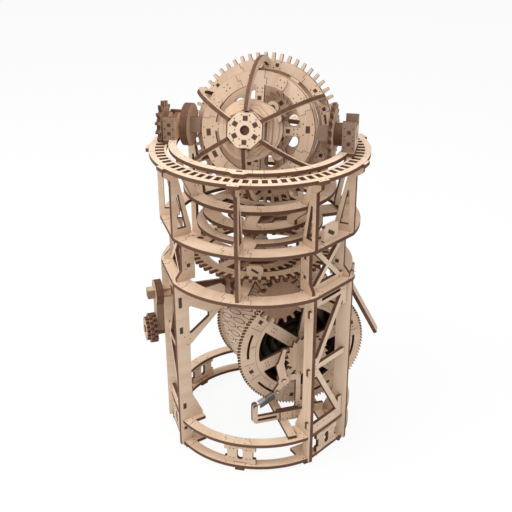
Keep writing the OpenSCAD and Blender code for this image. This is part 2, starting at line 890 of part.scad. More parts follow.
// Arms, ring and legs that carry the dial ring's carriage on its base
low_in = 50;
low_out = 62;
yoke_inset = 4;
yoke_taper = 22;
yoke_foot_h = 8;
yoke_lap = 0.5;
yoke_head = 6;
module yoke_arms() {
    z0 = carriage_low_z + ply;
    foot_in = low_in + yoke_inset;
    outer = carriage_out - 2 * yoke_lap;
    inner = carriage_in + yoke_lap;
    color(wood) at_angles(yoke_angles) radial_plate([[foot_in, z0], [low_out - 2 * yoke_lap, z0],
        [outer, z0 + yoke_taper], [outer, carriage_z], [inner, carriage_z],
        [inner, carriage_z - yoke_head], [foot_in + yoke_inset, z0 + yoke_foot_h]]);
}

module carriage_lower_ring() {
    color(wood) translate([0, 0, carriage_low_z]) linear_extrude(ply) ring2d(low_in, low_out);
}

base_ring_in = 34;
base_ring_out = 47;
leg_lap = 3;
leg_foot_h = 4;
leg_step = 1;
module carriage_legs() {
    z0 = carriage_base_z + ply;
    foot_in = base_ring_in + leg_lap;
    foot_out = base_ring_out - leg_lap / 3;
    head_in = low_in + leg_lap / 3;
    head_out = low_out - leg_lap * 2 / 3;
    color(wood) at_angles(leg_angles) radial_plate([[foot_in, z0], [foot_out, z0],
        [foot_out, z0 + leg_foot_h], [head_out, carriage_low_z - leg_lap], [head_out, carriage_low_z],
        [head_in, carriage_low_z], [head_in, carriage_low_z - leg_foot_h],
        [foot_in, z0 + leg_foot_h + leg_step]]);
}

base_hub = 8;
base_spoke_w = 10;
module carriage_base() {
    color(wood) translate([0, 0, carriage_base_z]) linear_extrude(ply) difference() {
        union() {
            ring2d(base_ring_in, base_ring_out);
            circle(shaft_r + base_hub);
            at_angles(arcs) translate([shaft_r + spoke_lap, -base_spoke_w / 2])
                square([base_ring_in - shaft_r, base_spoke_w]);
        }
        circle(shaft_r + slip);
    }
}

drive_teeth = 40;
drive_tip = 44.5;
drive_tooth_h = 3.5;
drive_root_w = 3.4;
drive_tip_w = 2.4;
drive_rim = 9;
wheel_hub = 6;
module drive_gear() {
    root = drive_tip - drive_tooth_h;
    color(dark) translate([0, 0, carriage_base_z - ply]) linear_extrude(ply) difference() {
        union() {
            difference() {
                polygon(gear_pts(drive_teeth, root, drive_tip, drive_root_w, drive_tip_w));
                polygon(ring_pts(root - drive_rim, rim_sides));
            }
            circle(shaft_r + wheel_hub);
            at_angles(arcs) translate([shaft_r + spoke_lap, -spoke_w / 2])
                square([root - drive_rim - shaft_r, spoke_w]);
        }
        circle(shaft_r + slip);
    }
}

collar_wall = 4;
collar_gap = 0.1;
shaft_end_h = 3;
// Sleeve on the centre shaft between two levels
module collar(z0, z1) {
    translate([0, 0, z0]) linear_extrude(z1 - z0) ring2d(shaft_r + slip, shaft_r + collar_wall);
}
module centre_shaft() {
    // The lower collar carries the carriage on the lower bearing
    low = z_mid - ply - shaft_end_h;
    color(wood) {
        translate([0, 0, low]) cylinder(r = shaft_r, h = carriage_base_z + ply - low);
        collar(z_mid + collar_gap, setting_z);
        collar(setting_z + ply, centre_z);
    }
}

wheel_rim = 8;
wheel_flare = 0.4;
module spoked_wheel(n, r, a0) {
    root = r - wheel_depth;
    linear_extrude(ply) difference() {
        union() {
            difference() {
                polygon(gear_pts(n, root, r + wheel_reach, wheel_tooth_w + wheel_flare,
                    wheel_tooth_w, a0));
                polygon(ring_pts(root - wheel_rim, rim_sides));
            }
            polygon(ring_pts(shaft_r + wheel_hub, hub_sides));
            at_angles([0, 120, 240]) translate([shaft_r + spoke_lap, -spoke_w / 2])
                square([root - wheel_rim - shaft_r, spoke_w]);
        }
        polygon(ring_pts(shaft_r + slip + flat_bore, hub_sides));
    }
}
module centre_wheels() {
    color(wood) {
        translate([0, 0, centre_z]) spoked_wheel(centre_teeth, centre_r, -60 + 180 / centre_teeth);
        translate([0, 0, setting_z]) spoked_wheel(setting_teeth, setting_r, 210 + 180 / setting_teeth);
    }
}

// Cage that tumbles on the second axis

module cage_ring() {
    color(wood) in_tour() translate([0, 0, ring_n]) linear_extrude(ply) ring2d(cage_in, cage_out);
}

// Curved ribs from the cage ring to the hub, each with a block that fills the hub's steps
rib_inset = 1.5;
rib_in = hub_r - rib_inset;
rib_root = 8;
module cage_ribs() {
    color(wood) in_tour() at_angles(rib_angles) radial_shape() difference() {
        union() {
            intersection() {
                ring2d(rib_r - rib_w, rib_r);
                translate([rib_in, wheel_n]) square([rib_r, 2 * rib_r]);
            }
            translate([rib_in, stack_n]) square([rib_root, hub_back - stack_n]);
        }
        translate([0, hub_back]) square([hub_r + slip, rib_r]);
    }
}

hub_sides_shown = 8;
hub_turn = 180 / hub_sides_shown;
hub_play = 0.5;
hub_bore = axle_r + hub_play;
module hub_plate() {
    color(wood) in_tour() translate([0, 0, hub_back]) linear_extrude(ply) difference() {
        rotate(hub_turn) circle(hub_r, $fn = hub_sides_shown);
        circle(hub_bore);
    }
}

// Stepped eight-sided stack behind the hub plate, slotted for the ribs, on a bearing disc
hub_steps = [20, 17.5, 15];
module hub_stack() {
    step_h = stack_h / len(hub_steps);
    color(wood) in_tour() {
        translate([0, 0, disc_n]) linear_extrude(ply) ring2d(axle_r + run, disc_r);
        translate([0, 0, stack_n]) difference() {
            union() {
                for (i = [0:len(hub_steps) - 1]) translate([0, 0, i * step_h])
                    linear_extrude(step_h) rotate(hub_turn) circle(hub_steps[i], $fn = hub_sides_shown);
            }
            translate([0, 0, -ply]) cylinder(r = hub_bore, h = stack_h + 2 * ply);
            at_angles(rib_angles) translate([rib_in - slip, -ply / 2 - slip, -ply])
                cube([hub_steps[0], ply + 2 * slip, stack_h + 2 * ply]);
        }
    }
}

axle_end = 4;
module cage_axles() {
    // The left axle passes the roller gear, the right one ends flush with its tower
    left = roller_x + ply / 2 + axle_end;
    right = tower_x + tower_w;
    color(dark) {
        along_x(-left) cylinder(r = axle_r, h = left - block_in);
        along_x(block_in) cylinder(r = axle_r, h = right - block_in);
    }
}

axle_disc_r = 17;
block_w = 12;
block_wall = 4;
module axle_blocks() {
    h = axle_r + block_wall - wheel_n;
    color(wood) {
        in_tour() for (d = [-1, 1]) difference() {
            translate([d < 0 ? -block_out : block_in, -block_w / 2, wheel_n])
                cube([block_out - block_in, block_w, h]);
            translate([-block_out - ply, 0, 0]) rotate([0, 90, 0])
                cylinder(r = axle_r + slip, h = 2 * (block_out + ply));
        }
        along_x(-block_out - 2 * ply) linear_extrude(2 * ply) difference() {
            circle(axle_disc_r);
            circle(axle_r + slip);
        }
    }
}

module roller_gear() {
    color(dark) along_x(-roller_x - ply / 2) linear_extrude(ply) difference() {
        polygon(gear_pts(roller_teeth, roller_r - tooth_depth, roller_r + tooth_reach - roller_ease,
            tooth_root_w, tooth_tip_w, -90));
        polygon(ring_pts(axle_r + slip + flat_bore, bore_sides));
    }
}

bridge_angles = [60, 180, 300];
bridge_gap = 0.2;
module cage_bridge() {
    color(wood) in_tour() translate([0, 0, ring_n]) linear_extrude(ply) difference() {
        union() {
            circle(bridge_r);
            at_angles(bridge_angles) translate([bridge_r - spoke_lap, -spoke_w / 2])
                square([cage_in - bridge_gap - bridge_r + spoke_lap, spoke_w]);
        }
        circle(axle_r + run);
    }
}

module fixed_wheel() {
    color(dark) in_tour() translate([0, 0, wheel_n]) linear_extrude(ply) difference() {
        polygon(fine_gear_pts(fixed_teeth, escape_m, escape_angle));
        polygon(ring_pts(axle_r + pass, bore_sides));
    }
}

// Core that turns on the third axis

tour_rim = 11;
tour_hub_r = 9;
tour_spoke_w = 7;
tour_cham = 0.8;
module tourbillon_gear() {
    root = tour_r - wheel_depth - wheel_flare;
    color(wood) in_tour() translate([0, 0, tour_n]) linear_extrude(ply) difference() {
        union() {
            difference() {
                polygon(gear_pts(tour_teeth, root, tour_r + wheel_reach, wheel_tooth_w + wheel_flare,
                    wheel_tooth_w - wheel_flare, 180 / tour_teeth, tour_cham));
                polygon(ring_pts(root - tour_rim, rim_sides));
            }
            polygon(ring_pts(tour_hub_r, hub_sides));
            at_angles([0, 90, 180, 270]) translate([tour_hub_r - spoke_lap, -tour_spoke_w / 2])
                square([root - tour_rim + 2 * spoke_lap - tour_hub_r, tour_spoke_w]);
        }
        polygon(ring_pts(axle_r + slip + flat_bore, hub_sides));
    }
}

pillar_angles = [0, 90, 180, 270];
core_pillar_r = 2.5;
core_shaft_end = 1;
module core_pillars() {
    // Four pillars, the rear shaft through the cage bridge and the front stud in the hub
    color(dark) in_tour() {
        at_angles(pillar_angles) translate([pillar_r, 0, rear_n + ply])
            cylinder(r = core_pillar_r, h = front_n - rear_n - ply);
        translate([0, 0, tour_n - core_shaft_end])
            cylinder(r = axle_r, h = rear_n + ply - tour_n + core_shaft_end);
        translate([0, 0, front_n]) cylinder(r = axle_r, h = hub_back - front_n);
    }
}

// Plan of a core plate with lugs and bores for the escape and pallet arbors
core_hub_r = 8;
core_spoke_w = 7;
lug_wall = 3;
lug_bar = 6;
core_lugs = [polar(escape_dist, escape_angle), polar(fork_dist, fork_angle)];
module core_plate2d(hub) {
    difference() {
        union() {
            ring2d(core_in, core_out);
            circle(hub);
            at_angles(pillar_angles) translate([core_hub_r - spoke_lap, -core_spoke_w / 2])
                square([core_in - core_hub_r + 2 * spoke_lap, core_spoke_w]);
            for (p = core_lugs) {
                translate(p) circle(core_arbor_r + lug_wall);
                bar2d([0, 0], p, lug_bar);
            }
        }
        circle(axle_r + slip);
        for (p = core_lugs) translate(p) circle(core_arbor_r + run);
    }
}
// Holes through the rear plate, between its spokes and clear of the lugs
web_hole_r = 4.6;
web_wall = 2.9;
web_holes = [18, 108, 135, 162, 198, 225, 252, 288, 342];
module core_rear_plate() {
    color(wood) in_tour() translate([0, 0, rear_n]) linear_extrude(ply) difference() {
        core_plate2d(core_in + spoke_lap);
        at_angles(web_holes) translate([core_in - web_hole_r - web_wall, 0]) circle(web_hole_r);
    }
}
module core_front_ring() {
    color(wood) in_tour() translate([0, 0, front_n]) linear_extrude(ply) core_plate2d(core_hub_r);
}

escape_gap = 2;
escape_n = rear_n + ply + escape_gap;
escape_tooth_h = 3.4;
escape_lean = 15;
escape_tip_turn = 3;
module escape_wheel() {
    // The toothed wheel between the plates and its pinion behind the rear plate
    color(dark) in_tour() translate(concat(polar(escape_dist, escape_angle), 0)) {
        translate([0, 0, escape_n]) linear_extrude(ply) difference() {
            polygon([for (i = [0:escape_teeth - 1]) each [
                polar(escape_tip - escape_tooth_h, 360 * i / escape_teeth),
                polar(escape_tip, 360 * i / escape_teeth + escape_lean),
                polar(escape_tip, 360 * i / escape_teeth + escape_lean + escape_tip_turn)]]);
            polygon(ring_pts(core_arbor_r + slip + flat_bore, bore_sides));
        }
        translate([0, 0, wheel_n]) linear_extrude(ply) difference() {
            polygon(fine_gear_pts(escape_pinion_teeth, escape_m,
                escape_angle + 180 + 180 / escape_pinion_teeth));
            polygon(ring_pts(core_arbor_r + slip + flat_bore, bore_sides));
        }
    }
}
module escape_arbor() {
    color(dark) in_tour() translate(concat(polar(escape_dist, escape_angle), 0))
        translate([0, 0, wheel_n]) cylinder(r = core_arbor_r, h = front_n + ply - wheel_n);
}

// Fork with two pallets that stand just clear of the escape wheel's tips
fork_span = 10;
fork_share = 0.55;
fork_over = 1;
fork_bar = 3.4;
pallet_half = 2;
fork_tail = 11;
fork_tail_w = 4;
fork_horn = 3;
module pallet_fork() {
    towards = core_lugs[0] - core_lugs[1];
    elbow = (norm(towards) - escape_tip + fork_over) * fork_share;
    color(wood) in_tour() {
        translate([0, 0, escape_n]) linear_extrude(ply) difference() {
            translate(core_lugs[1]) rotate(atan2(towards[1], towards[0])) {
                circle(core_arbor_r + lug_wall);
                bar2d([0, 0], [-fork_tail, 0], fork_tail_w);
                for (d = [-1, 1]) {
                    bar2d([0, 0], [elbow, d * fork_span], fork_bar);
                    bar2d([elbow, d * (fork_span - pallet_half / 2)],
                        [elbow, d * (fork_span + pallet_half * 1.5)], fork_horn);
                    bar2d([fork_over - fork_tail, d * fork_horn / 2],
                        [-fork_tail - fork_horn, d * fork_horn], pallet_half);
                }
            }
            translate(core_lugs[1]) circle(core_arbor_r + slip);
            translate(core_lugs[0]) circle(escape_tip + fork_clear);
        }
        translate(concat(core_lugs[1], rear_n)) cylinder(r = core_arbor_r, h = front_n + ply - rear_n);
    }
}

// Three-spoked balance with a long hub and three weights on its rim
balance_n = front_n + ply + pass;
balance_rim = 5;
balance_lift = 4;
balance_hub_r = 8;
balance_tube_r = 6.5;
balance_spoke_w = 5;
weight_r = 4;
balance_spokes = [90, 210, 330];
module balance_wheel() {
    rim_n = balance_n + balance_lift;
    tube_h = disc_n - pass - balance_n;
    color(wood) in_tour() difference() {
        union() {
            translate([0, 0, rim_n]) linear_extrude(ply) {
                ring2d(balance_out - balance_rim, balance_out);
                circle(balance_hub_r);
                at_angles(balance_spokes) translate([balance_hub_r - spoke_lap, -balance_spoke_w / 2])
                    square([balance_out - balance_rim + spoke_lap - balance_hub_r, balance_spoke_w]);
            }
            translate([0, 0, balance_n]) cylinder(r = balance_tube_r, h = tube_h);
            at_angles([for (a = balance_spokes) a + 60])
                translate([balance_out - balance_rim / 2, 0, rim_n - ply])
                    cylinder(r = weight_r, h = 3 * ply);
        }
        translate([0, 0, balance_n - ply]) cylinder(r = axle_r + run, h = tube_h + 2 * ply);
    }
}

// Spring drum on its arbor

rim_step = 9;
rim_in = shell_out - shell_wall - rim_step;
drum_discs = [drum_front - ply, drum_back];
drum_disc_ring = 3;
drum_spoke_w = 10.5;
drum_spokes = [for (k = [0:5]) 20 + 60 * k];
rim_slot_r = 47.5;
rim_slot_w = 2;
rim_slot_half = 14;
rim_slot_step = 3.5;
rim_slots = [for (k = [0:5]) 50 + 60 * k];
rim_slot_pts = concat(
    [for (a = [-rim_slot_half:rim_slot_step:rim_slot_half]) polar(rim_slot_r + rim_slot_w / 2, a)],
    [for (a = [rim_slot_half:-rim_slot_step:-rim_slot_half]) polar(rim_slot_r - rim_slot_w / 2, a)]);
module drum_rims() {
    color(wood) in_drum() for (t = drum_discs)
        translate([0, 0, t]) linear_extrude(ply) difference() {
            polygon(fine_gear_pts(drum_teeth, drum_m, mesh_angle));
            polygon(ring_pts(rim_in, rim_sides));
            at_angles(rim_slots) polygon(rim_slot_pts);
        }
}

module drum_shell() {
    disc_out = rim_in - slip - flat_bore;
    hub = arbor_r + bracket_boss;
    color(wood) in_drum() {
        // Spoked discs inside the rims
        for (t = drum_discs) translate([0, 0, t]) linear_extrude(ply) difference() {
            union() {
                ring2d(disc_out - drum_disc_ring, disc_out);
                circle(hub);
                at_angles(drum_spokes) translate([hub - spoke_lap, -drum_spoke_w / 2])
                    square([disc_out - hub, drum_spoke_w]);
            }
            circle(arbor_r + run);
        }
        // Bent wall between the rims
        translate([0, 0, drum_back + ply]) linear_extrude(drum_len - 2 * ply)
            ring2d(shell_out - shell_wall, shell_out);
    }
}

// Flat strip wound in the drum, its outer end against the wall
spring_turns = 5;
spring_gap = 9;
spring_start = arbor_r + spring_gap;
spring_thick = 0.9;
spring_margin = 6;
spring_step = 15;
spiral_end = shell_out - shell_wall - spring_thick;
function spiral_r(a) = spring_start + (spiral_end - spring_start) * a / (360 * spring_turns);
echo(mainspring_least_gap_to_itself = min([for (a = [0:spring_step:360 * (spring_turns - 1)])
    norm(polar(spiral_r(a + 360), a) - polar(spiral_r(a) + spring_thick, a))]));
module mainspring() {
    turn = 360 * spring_turns;
    inner = [for (a = [0:spring_step:turn]) polar(spiral_r(a), a)];
    outer = [for (a = [turn:-spring_step:0]) polar(spiral_r(a) + spring_thick, a)];
    color(steel) in_drum() translate([0, 0, drum_back + ply + spring_margin])
        linear_extrude(drum_len - 2 * (ply + spring_margin)) polygon(concat(inner, outer));
}

arbor_ends = [2, 4];
module drum_arbor() {
    low = rear_bracket_t - arbor_ends[0];
    color(dark) in_drum() translate([0, 0, low])
        cylinder(r = arbor_r, h = click_t + pass + ply + arbor_ends[1] - low);
}

ratchet_depth = 3;
ratchet_lean = 2;
module ratchet_wheel() {
    color(dark) in_drum() translate([0, 0, click_t + pass]) linear_extrude(ply) difference() {
        polygon([for (i = [0:ratchet_teeth - 1]) each [
            polar(ratchet_tip - ratchet_depth, 360 * i / ratchet_teeth),
            polar(ratchet_tip, 360 * i / ratchet_teeth + ratchet_lean)]]);
        circle(arbor_r + slip);
    }
}

// Click that holds the ratchet, with its extension spring

click_tip = [-18.5, 9];
click_gap = 0.5;
click_bow = [-4, 0];
click_clear = ratchet_tip + click_gap;
click_wall = 3;
click_body_w = 7;
click_nose_w = 5;
click_elbow = (click_pivot + click_tip) / 2 + click_bow;
module click_pawl() {
    color(wood) in_drum() {
        translate([0, 0, click_t + pass]) linear_extrude(ply) difference() {
            union() {
                translate(click_pivot) circle(click_pin_r + click_wall);
                bar2d(click_pivot, click_elbow, click_body_w);
                translate(click_elbow) circle(click_body_w / 2);
                bar2d(click_elbow, click_tip, click_nose_w);
                bar2d(click_pivot, spring_from, click_nose_w);
                translate(spring_from) circle(eye_r);
            }
            translate(click_pivot) circle(click_pin_r + run);
            translate(spring_from) circle(spring_pin_r + slip);
            circle(click_clear);
        }
        translate([spring_from[0], spring_from[1], click_t + pass])
            cylinder(r = spring_pin_r, h = ply + 2 * spring_lift);
    }
}

// The wire's middle line: a straight lead, the curls about the axis between the pins, a lead
coil_axis = spring_to - spring_from;
coil_span = norm(coil_axis);
lead_gap = 0.2;
lead = spring_pin_r + lead_gap;
lead_len = 2;
coil_len = coil_span - 2 * (lead + lead_len);
curl_rings = 8;
grow_rings = 6;
coil_rings = coil_turns * curl_rings;
wire_sides = 6;
function coil_point(i) =
    let (a = 360 * coil_turns * i / coil_rings,
        grow = min(1, min(i, coil_rings - i) / grow_rings))
        [coil_r * grow * cos(a), coil_r * grow * sin(a), lead + lead_len + coil_len * i / coil_rings];
coil_path = concat([[0, 0, lead]], [for (i = [0:coil_rings]) coil_point(i)],
    [[0, 0, coil_span - lead]]);
function unit(v) = v / norm(v);
function path_dir(i) =
    i == 0 ? [0, 0, 1] :
    i == len(coil_path) - 1 ? [0, 0, 1] : unit(coil_path[i + 1] - coil_path[i - 1]);
function wire_ring(i) =
    let (d = path_dir(i), p = coil_path[i],
        out = norm([p[0], p[1]]) > 0.01 ? unit([p[0], p[1], 0]) : [1, 0, 0],
        side = unit(cross(d, out)), up = cross(side, d))
        [for (k = [0:wire_sides - 1]) let (a = 360 * k / wire_sides)
            p + wire_d / 2 * (cos(a) * up + sin(a) * side)];
wire_pts = [for (i = [0:len(coil_path) - 1]) each wire_ring(i)];
wire_faces = concat(
    [for (k = [1:wire_sides - 2]) [0, k, k + 1]],
    [for (i = [0:len(coil_path) - 2]) for (k = [0:wire_sides - 1])
        let (a = i * wire_sides + k, b = i * wire_sides + (k + 1) % wire_sides)
            each [[a, a + wire_sides, b], [b, a + wire_sides, b + wire_sides]]],
    [for (k = [1:wire_sides - 2]) let (e = (len(coil_path) - 1) * wire_sides) [e, e + k + 1, e + k]]);
self_gap = min([for (i = [0:coil_rings - grow_rings]) for (j = [i + grow_rings:coil_rings])
    norm(coil_point(i) - coil_point(j))]) - wire_d;
echo(click_spring_least_gap_to_itself = self_gap);
module click_spring() {
    color(steel) in_drum()
        translate([spring_from[0], spring_from[1], click_t + ply + pass + spring_lift])
            rotate([0, 0, atan2(coil_axis[1], coil_axis[0])]) rotate([0, 90, 0])
                polyhedron(wire_pts, wire_faces);
}

// Train between the drum and the centre wheel

train_end = 2;
pinion_lap = 1;
module train_arbor() {
    low = train_hangers[0] - train_end;
    color(dark) in_train() translate([0, 0, low])
        cylinder(r = train_arbor_r, h = train_front + ply - low);
}
module train_wheels() {
    // The pinion on the drum's front rim and the angle gear below the centre wheel
    color(dark) in_train() {
        translate([0, 0, drum_front - ply - pinion_lap]) linear_extrude(ply + 2 * pinion_lap) difference() {
            polygon(fine_gear_pts(pinion_teeth, drum_m, mesh_angle + 180 + 180 / pinion_teeth));
            polygon(ring_pts(train_arbor_r + slip + flat_bore, bore_sides));
        }
        translate([0, 0, train_front]) linear_extrude(ply) difference() {
            polygon(gear_pts(angle_teeth, angle_r - tooth_depth, angle_r + tooth_reach,
                tooth_root_w, tooth_tip_w, 90));
            polygon(ring_pts(train_arbor_r + slip + flat_bore, bore_sides));
        }
    }
}

// Setting crank

arm_t = 2 * ply;
crank_end = 6;
crank_inner_end = 2;
crank_square_gap = 1;
crank_square_at = truss_r + ply + crank_square_gap;
crank_square = 7.6;
crank_eye_r = 10.5;
crank_bar_w = 13;
knob_pin_r = 3;
knob_pin_h = 10.5;
module crank_handle() {
    low = hanger_out - ply - crank_inner_end;
    shaft_end = crank_arm_s + arm_t + crank_end;
    color(dark) in_crank() {
        translate([0, 0, low]) cylinder(r = crank_shaft_r, h = crank_square_at - low);
        translate([-crank_square / 2, -crank_square / 2, crank_square_at])
            cube([crank_square, crank_square, shaft_end - crank_square_at]);
        translate([0, 0, crank_arm_s]) linear_extrude(arm_t) difference() {
            union() {
                circle(crank_eye_r);
                translate([-crank_bar_w / 2, -crank_arm_len]) square([crank_bar_w, crank_arm_len]);
                translate([0, -crank_arm_len]) circle(crank_bar_w / 2);
            }
            square(crank_square + 2 * slip, center = true);
        }
        translate([0, -crank_arm_len, crank_arm_s + arm_t]) cylinder(r = knob_pin_r, h = knob_pin_h);
    }
}
module crank_gear() {
    color(dark) in_crank() translate([0, 0, crank_gear_s]) linear_extrude(ply) difference() {
        polygon(gear_pts(crank_teeth, crank_r - tooth_depth, crank_r + tooth_reach,
            tooth_root_w, tooth_tip_w, 90));
        polygon(ring_pts(crank_shaft_r + slip + flat_bore, bore_sides));
    }
}
// Knob of three toothed plates, each turned half a tooth, the outermost one smaller
knob_plates = 3;
knob_teeth = 16;
knob_tooth_h = 2.2;
knob_root_w = 2.6;
knob_tip_w = 2;
knob_step = 2.5;
module crank_knob() {
    color(dark) in_crank() translate([0, -crank_arm_len, crank_arm_s + arm_t + pass])
        difference() {
            union() {
                for (i = [0:knob_plates - 1]) let (tip = knob_r - (i == knob_plates - 1 ? knob_step : 0))
                    translate([0, 0, i * ply]) linear_extrude(ply)
                        polygon(gear_pts(knob_teeth, tip - knob_tooth_h, tip, knob_root_w, knob_tip_w,
                            i * 180 / knob_teeth));
            }
            translate([0, 0, -ply]) cylinder(r = knob_pin_r + run, h = (knob_plates + 2) * ply);
        }
}

// Lever that hangs beside the drum

lever_eye = 2.5;
module stop_lever() {
    color(wood) in_lever() translate([0, 0, -lever_w / 2]) linear_extrude(lever_w) difference() {
        union() {
            circle(lever_pin_r + lever_eye);
            rotate(lever_lean) translate([-ply / 2, -lever_len]) square([ply, lever_len]);
        }
        circle(lever_pin_r + run);
    }
}

feet();
base_lower_ring();
base_upper_ring();
base_tabs();
base_crossbar();
columns();
side_trusses();
mid_shelf();
mid_posts();
mid_trusses();
second_shelf();
centre_bearing();
lower_bearing();
arbor_hangers();
a_frames();
dial_ring();
drum_front_bracket();
drum_rear_bracket();
spring_arm();
lever_bracket();
carriage_ring();
axle_towers();
side_gear();
yoke_arms();
carriage_lower_ring();
carriage_legs();
carriage_base();
drive_gear();
centre_shaft();
centre_wheels();
cage_ring();
cage_ribs();
hub_plate();
hub_stack();
cage_axles();
axle_blocks();
roller_gear();
cage_bridge();
fixed_wheel();
tourbillon_gear();
core_pillars();
core_front_ring();
core_rear_plate();
escape_wheel();
escape_arbor();
pallet_fork();
balance_wheel();
drum_rims();
drum_shell();
mainspring();
drum_arbor();
ratchet_wheel();
click_pawl();
click_spring();
train_arbor();
train_wheels();
crank_handle();
crank_gear();
crank_knob();
stop_lever();
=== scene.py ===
"""Looks of a wooden mechanical table clock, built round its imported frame.

Every sheet of the clock is copied from the frame, given its birch faces, its scorched rims and its
burnt edges, and marked with the tenon ends, dots and seams that the cut sheets carry.
"""

import json
import math
import random

import bmesh
import bpy
from bpy.props import FloatProperty, FloatVectorProperty, IntProperty, PointerProperty
from mathutils import Matrix, Vector


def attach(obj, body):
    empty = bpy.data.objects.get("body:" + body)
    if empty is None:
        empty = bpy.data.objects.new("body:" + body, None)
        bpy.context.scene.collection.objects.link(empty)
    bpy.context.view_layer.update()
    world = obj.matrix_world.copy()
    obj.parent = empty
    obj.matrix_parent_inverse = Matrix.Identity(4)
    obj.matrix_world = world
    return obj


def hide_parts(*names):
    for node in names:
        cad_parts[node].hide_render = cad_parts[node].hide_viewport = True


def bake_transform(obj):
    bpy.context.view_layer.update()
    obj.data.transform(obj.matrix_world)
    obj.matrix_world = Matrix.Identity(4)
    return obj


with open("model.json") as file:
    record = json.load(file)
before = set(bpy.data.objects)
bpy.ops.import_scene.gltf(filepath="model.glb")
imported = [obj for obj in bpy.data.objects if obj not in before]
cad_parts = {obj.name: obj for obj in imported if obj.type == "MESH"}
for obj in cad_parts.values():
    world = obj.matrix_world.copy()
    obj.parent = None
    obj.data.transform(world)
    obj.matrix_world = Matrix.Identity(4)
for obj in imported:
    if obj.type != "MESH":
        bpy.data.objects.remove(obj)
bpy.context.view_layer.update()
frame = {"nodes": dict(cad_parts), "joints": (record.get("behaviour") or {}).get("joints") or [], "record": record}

bl_info = {
    "name": "Wooden Table Clock",
    "version": (1, 0, 0),
    "blender": (4, 5, 0),
    "location": "3D View > Sidebar > Clock",
    "description": "Dresses a plywood table clock with its wood, its cut marks and its springs",
    "category": "Object",
}

MM = 0.001
UP = Vector((0, 0, 1))
RIGHT = Vector((1, 0, 0))

# Plan of the tower, in degrees about its axis
FLATS = (-30, 90, 210)
ARCS = (-90, 30, 150)
COLUMN_HALF = 16.5
COLUMNS = tuple(f + d for f in FLATS for d in (-COLUMN_HALF, COLUMN_HALF))
POSTS = COLUMNS + ARCS
RIBS = tuple(30 + 60 * k for k in range(6))

# Bodies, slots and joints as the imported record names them
BODIES = frame["record"]["behaviour"]["bodies"]
SLOT_OF = {row["node"]: row["material_slot"] for row in frame["record"]["subparts"]}
JOINTS = {row["name"]: row for row in frame["joints"]}


def basis(origin, x_axis, z_axis):
    """Matrix of a frame with the given origin, X and Z."""
    x, z = Vector(x_axis).normalized(), Vector(z_axis).normalized()
    y = z.cross(x)
    turned = Matrix((x, y, z)).transposed().to_4x4()
    return Matrix.Translation(Vector(origin)) @ turned


def joint_point(name):
    """Where a joint's axis passes."""
    return Vector(JOINTS[name]["pos_m"])


def joint_axis(name):
    """Direction of a joint's axis."""
    return Vector(JOINTS[name]["axis"]).normalized()


# The third axis with X to the right, and the drum's axis with Y up
TOUR = basis(joint_point("core_turn"), RIGHT, joint_axis("core_turn"))
DRUM = basis(joint_point("drum_turn"), UP.cross(joint_axis("drum_turn")), joint_axis("drum_turn"))
CRANK = basis(joint_point("crank_turn"), UP.cross(joint_axis("crank_turn")), joint_axis("crank_turn"))
ROD_AXES = {
    "cage_axles": joint_axis("cage_turn"),
    "core_pillars": joint_axis("core_turn"),
    "escape_arbor": joint_axis("core_turn"),
    "drum_arbor": joint_axis("drum_turn"),
    "train_arbor": joint_axis("train_turn"),
    "centre_shaft": UP,
}
BENT_NODE = "drum_shell"


def span(node, at=Matrix.Identity(4)):
    """Lowest and highest corner of a node, measured in a frame."""
    back = at.inverted()
    points = [back @ v.co for v in frame["nodes"][node].data.vertices]
    low = Vector(min(p[i] for p in points) for i in range(3))
    high = Vector(max(p[i] for p in points) for i in range(3))
    return low, high


class ClockWood(bpy.types.PropertyGroup):
    """Colours and sizes of the plywood."""

    pale: FloatVectorProperty(
        name="Pale grain", description="Light wood of a birch face",
        subtype="COLOR", min=0, max=1, default=(0.83, 0.645, 0.485))
    warm: FloatVectorProperty(
        name="Warm grain", description="Darker wood between the light fibres",
        subtype="COLOR", min=0, max=1, default=(0.63, 0.435, 0.295))
    gear_pale: FloatVectorProperty(
        name="Gear pale", description="Light wood of a toasted gear face",
        subtype="COLOR", min=0, max=1, default=(0.66, 0.48, 0.335))
    # Painted shade: a darker copy of the gear wood for the gears that sit in shade under the mid shelf
    shaded_gear_pale: FloatVectorProperty(
        name="Shaded gear pale", description="Light wood of the dark gears under the mid shelf",
        subtype="COLOR", min=0, max=1, default=(0.34, 0.21, 0.13))
    gear_warm: FloatVectorProperty(
        name="Gear warm", description="Darker wood of a toasted gear face",
        subtype="COLOR", min=0, max=1, default=(0.45, 0.295, 0.185))
    edge_brown: FloatVectorProperty(
        name="Edge brown", description="Light plies of a laser-cut edge",
        subtype="COLOR", min=0, max=1, default=(0.235, 0.120, 0.075))
    edge_dark: FloatVectorProperty(
        name="Edge dark", description="Burnt plies of a laser-cut edge",
        subtype="COLOR", min=0, max=1, default=(0.090, 0.042, 0.025))
    rim: FloatProperty(
        name="Scorched rim", description="Width of the scorched line along a cut",
        unit="LENGTH", min=0.0001, max=0.0006, default=0.0003)
    sheet: FloatProperty(
        name="Sheet", description="Thickness of the plywood",
        unit="LENGTH", min=0.002, max=0.004, default=0.003)


class ClockMarks(bpy.types.PropertyGroup):
    """Sizes of the marks on the sheets."""

    tenon: FloatProperty(
        name="Tenon", description="Side of a square tenon end",
        unit="LENGTH", min=0.002, max=0.004, default=0.0028)
    dot: FloatProperty(
        name="Dot", description="Radius of an engraved dot",
        unit="LENGTH", min=0.0002, max=0.001, default=0.0005)
    seam: FloatProperty(
        name="Seam", description="Width of a seam between two sheets",
        unit="LENGTH", min=0.0001, max=0.0006, default=0.0003)
    relief: FloatProperty(
        name="Relief", description="How far tenon ends stand proud of the sheet",
        unit="LENGTH", min=0.00005, max=0.0004, default=0.00015)


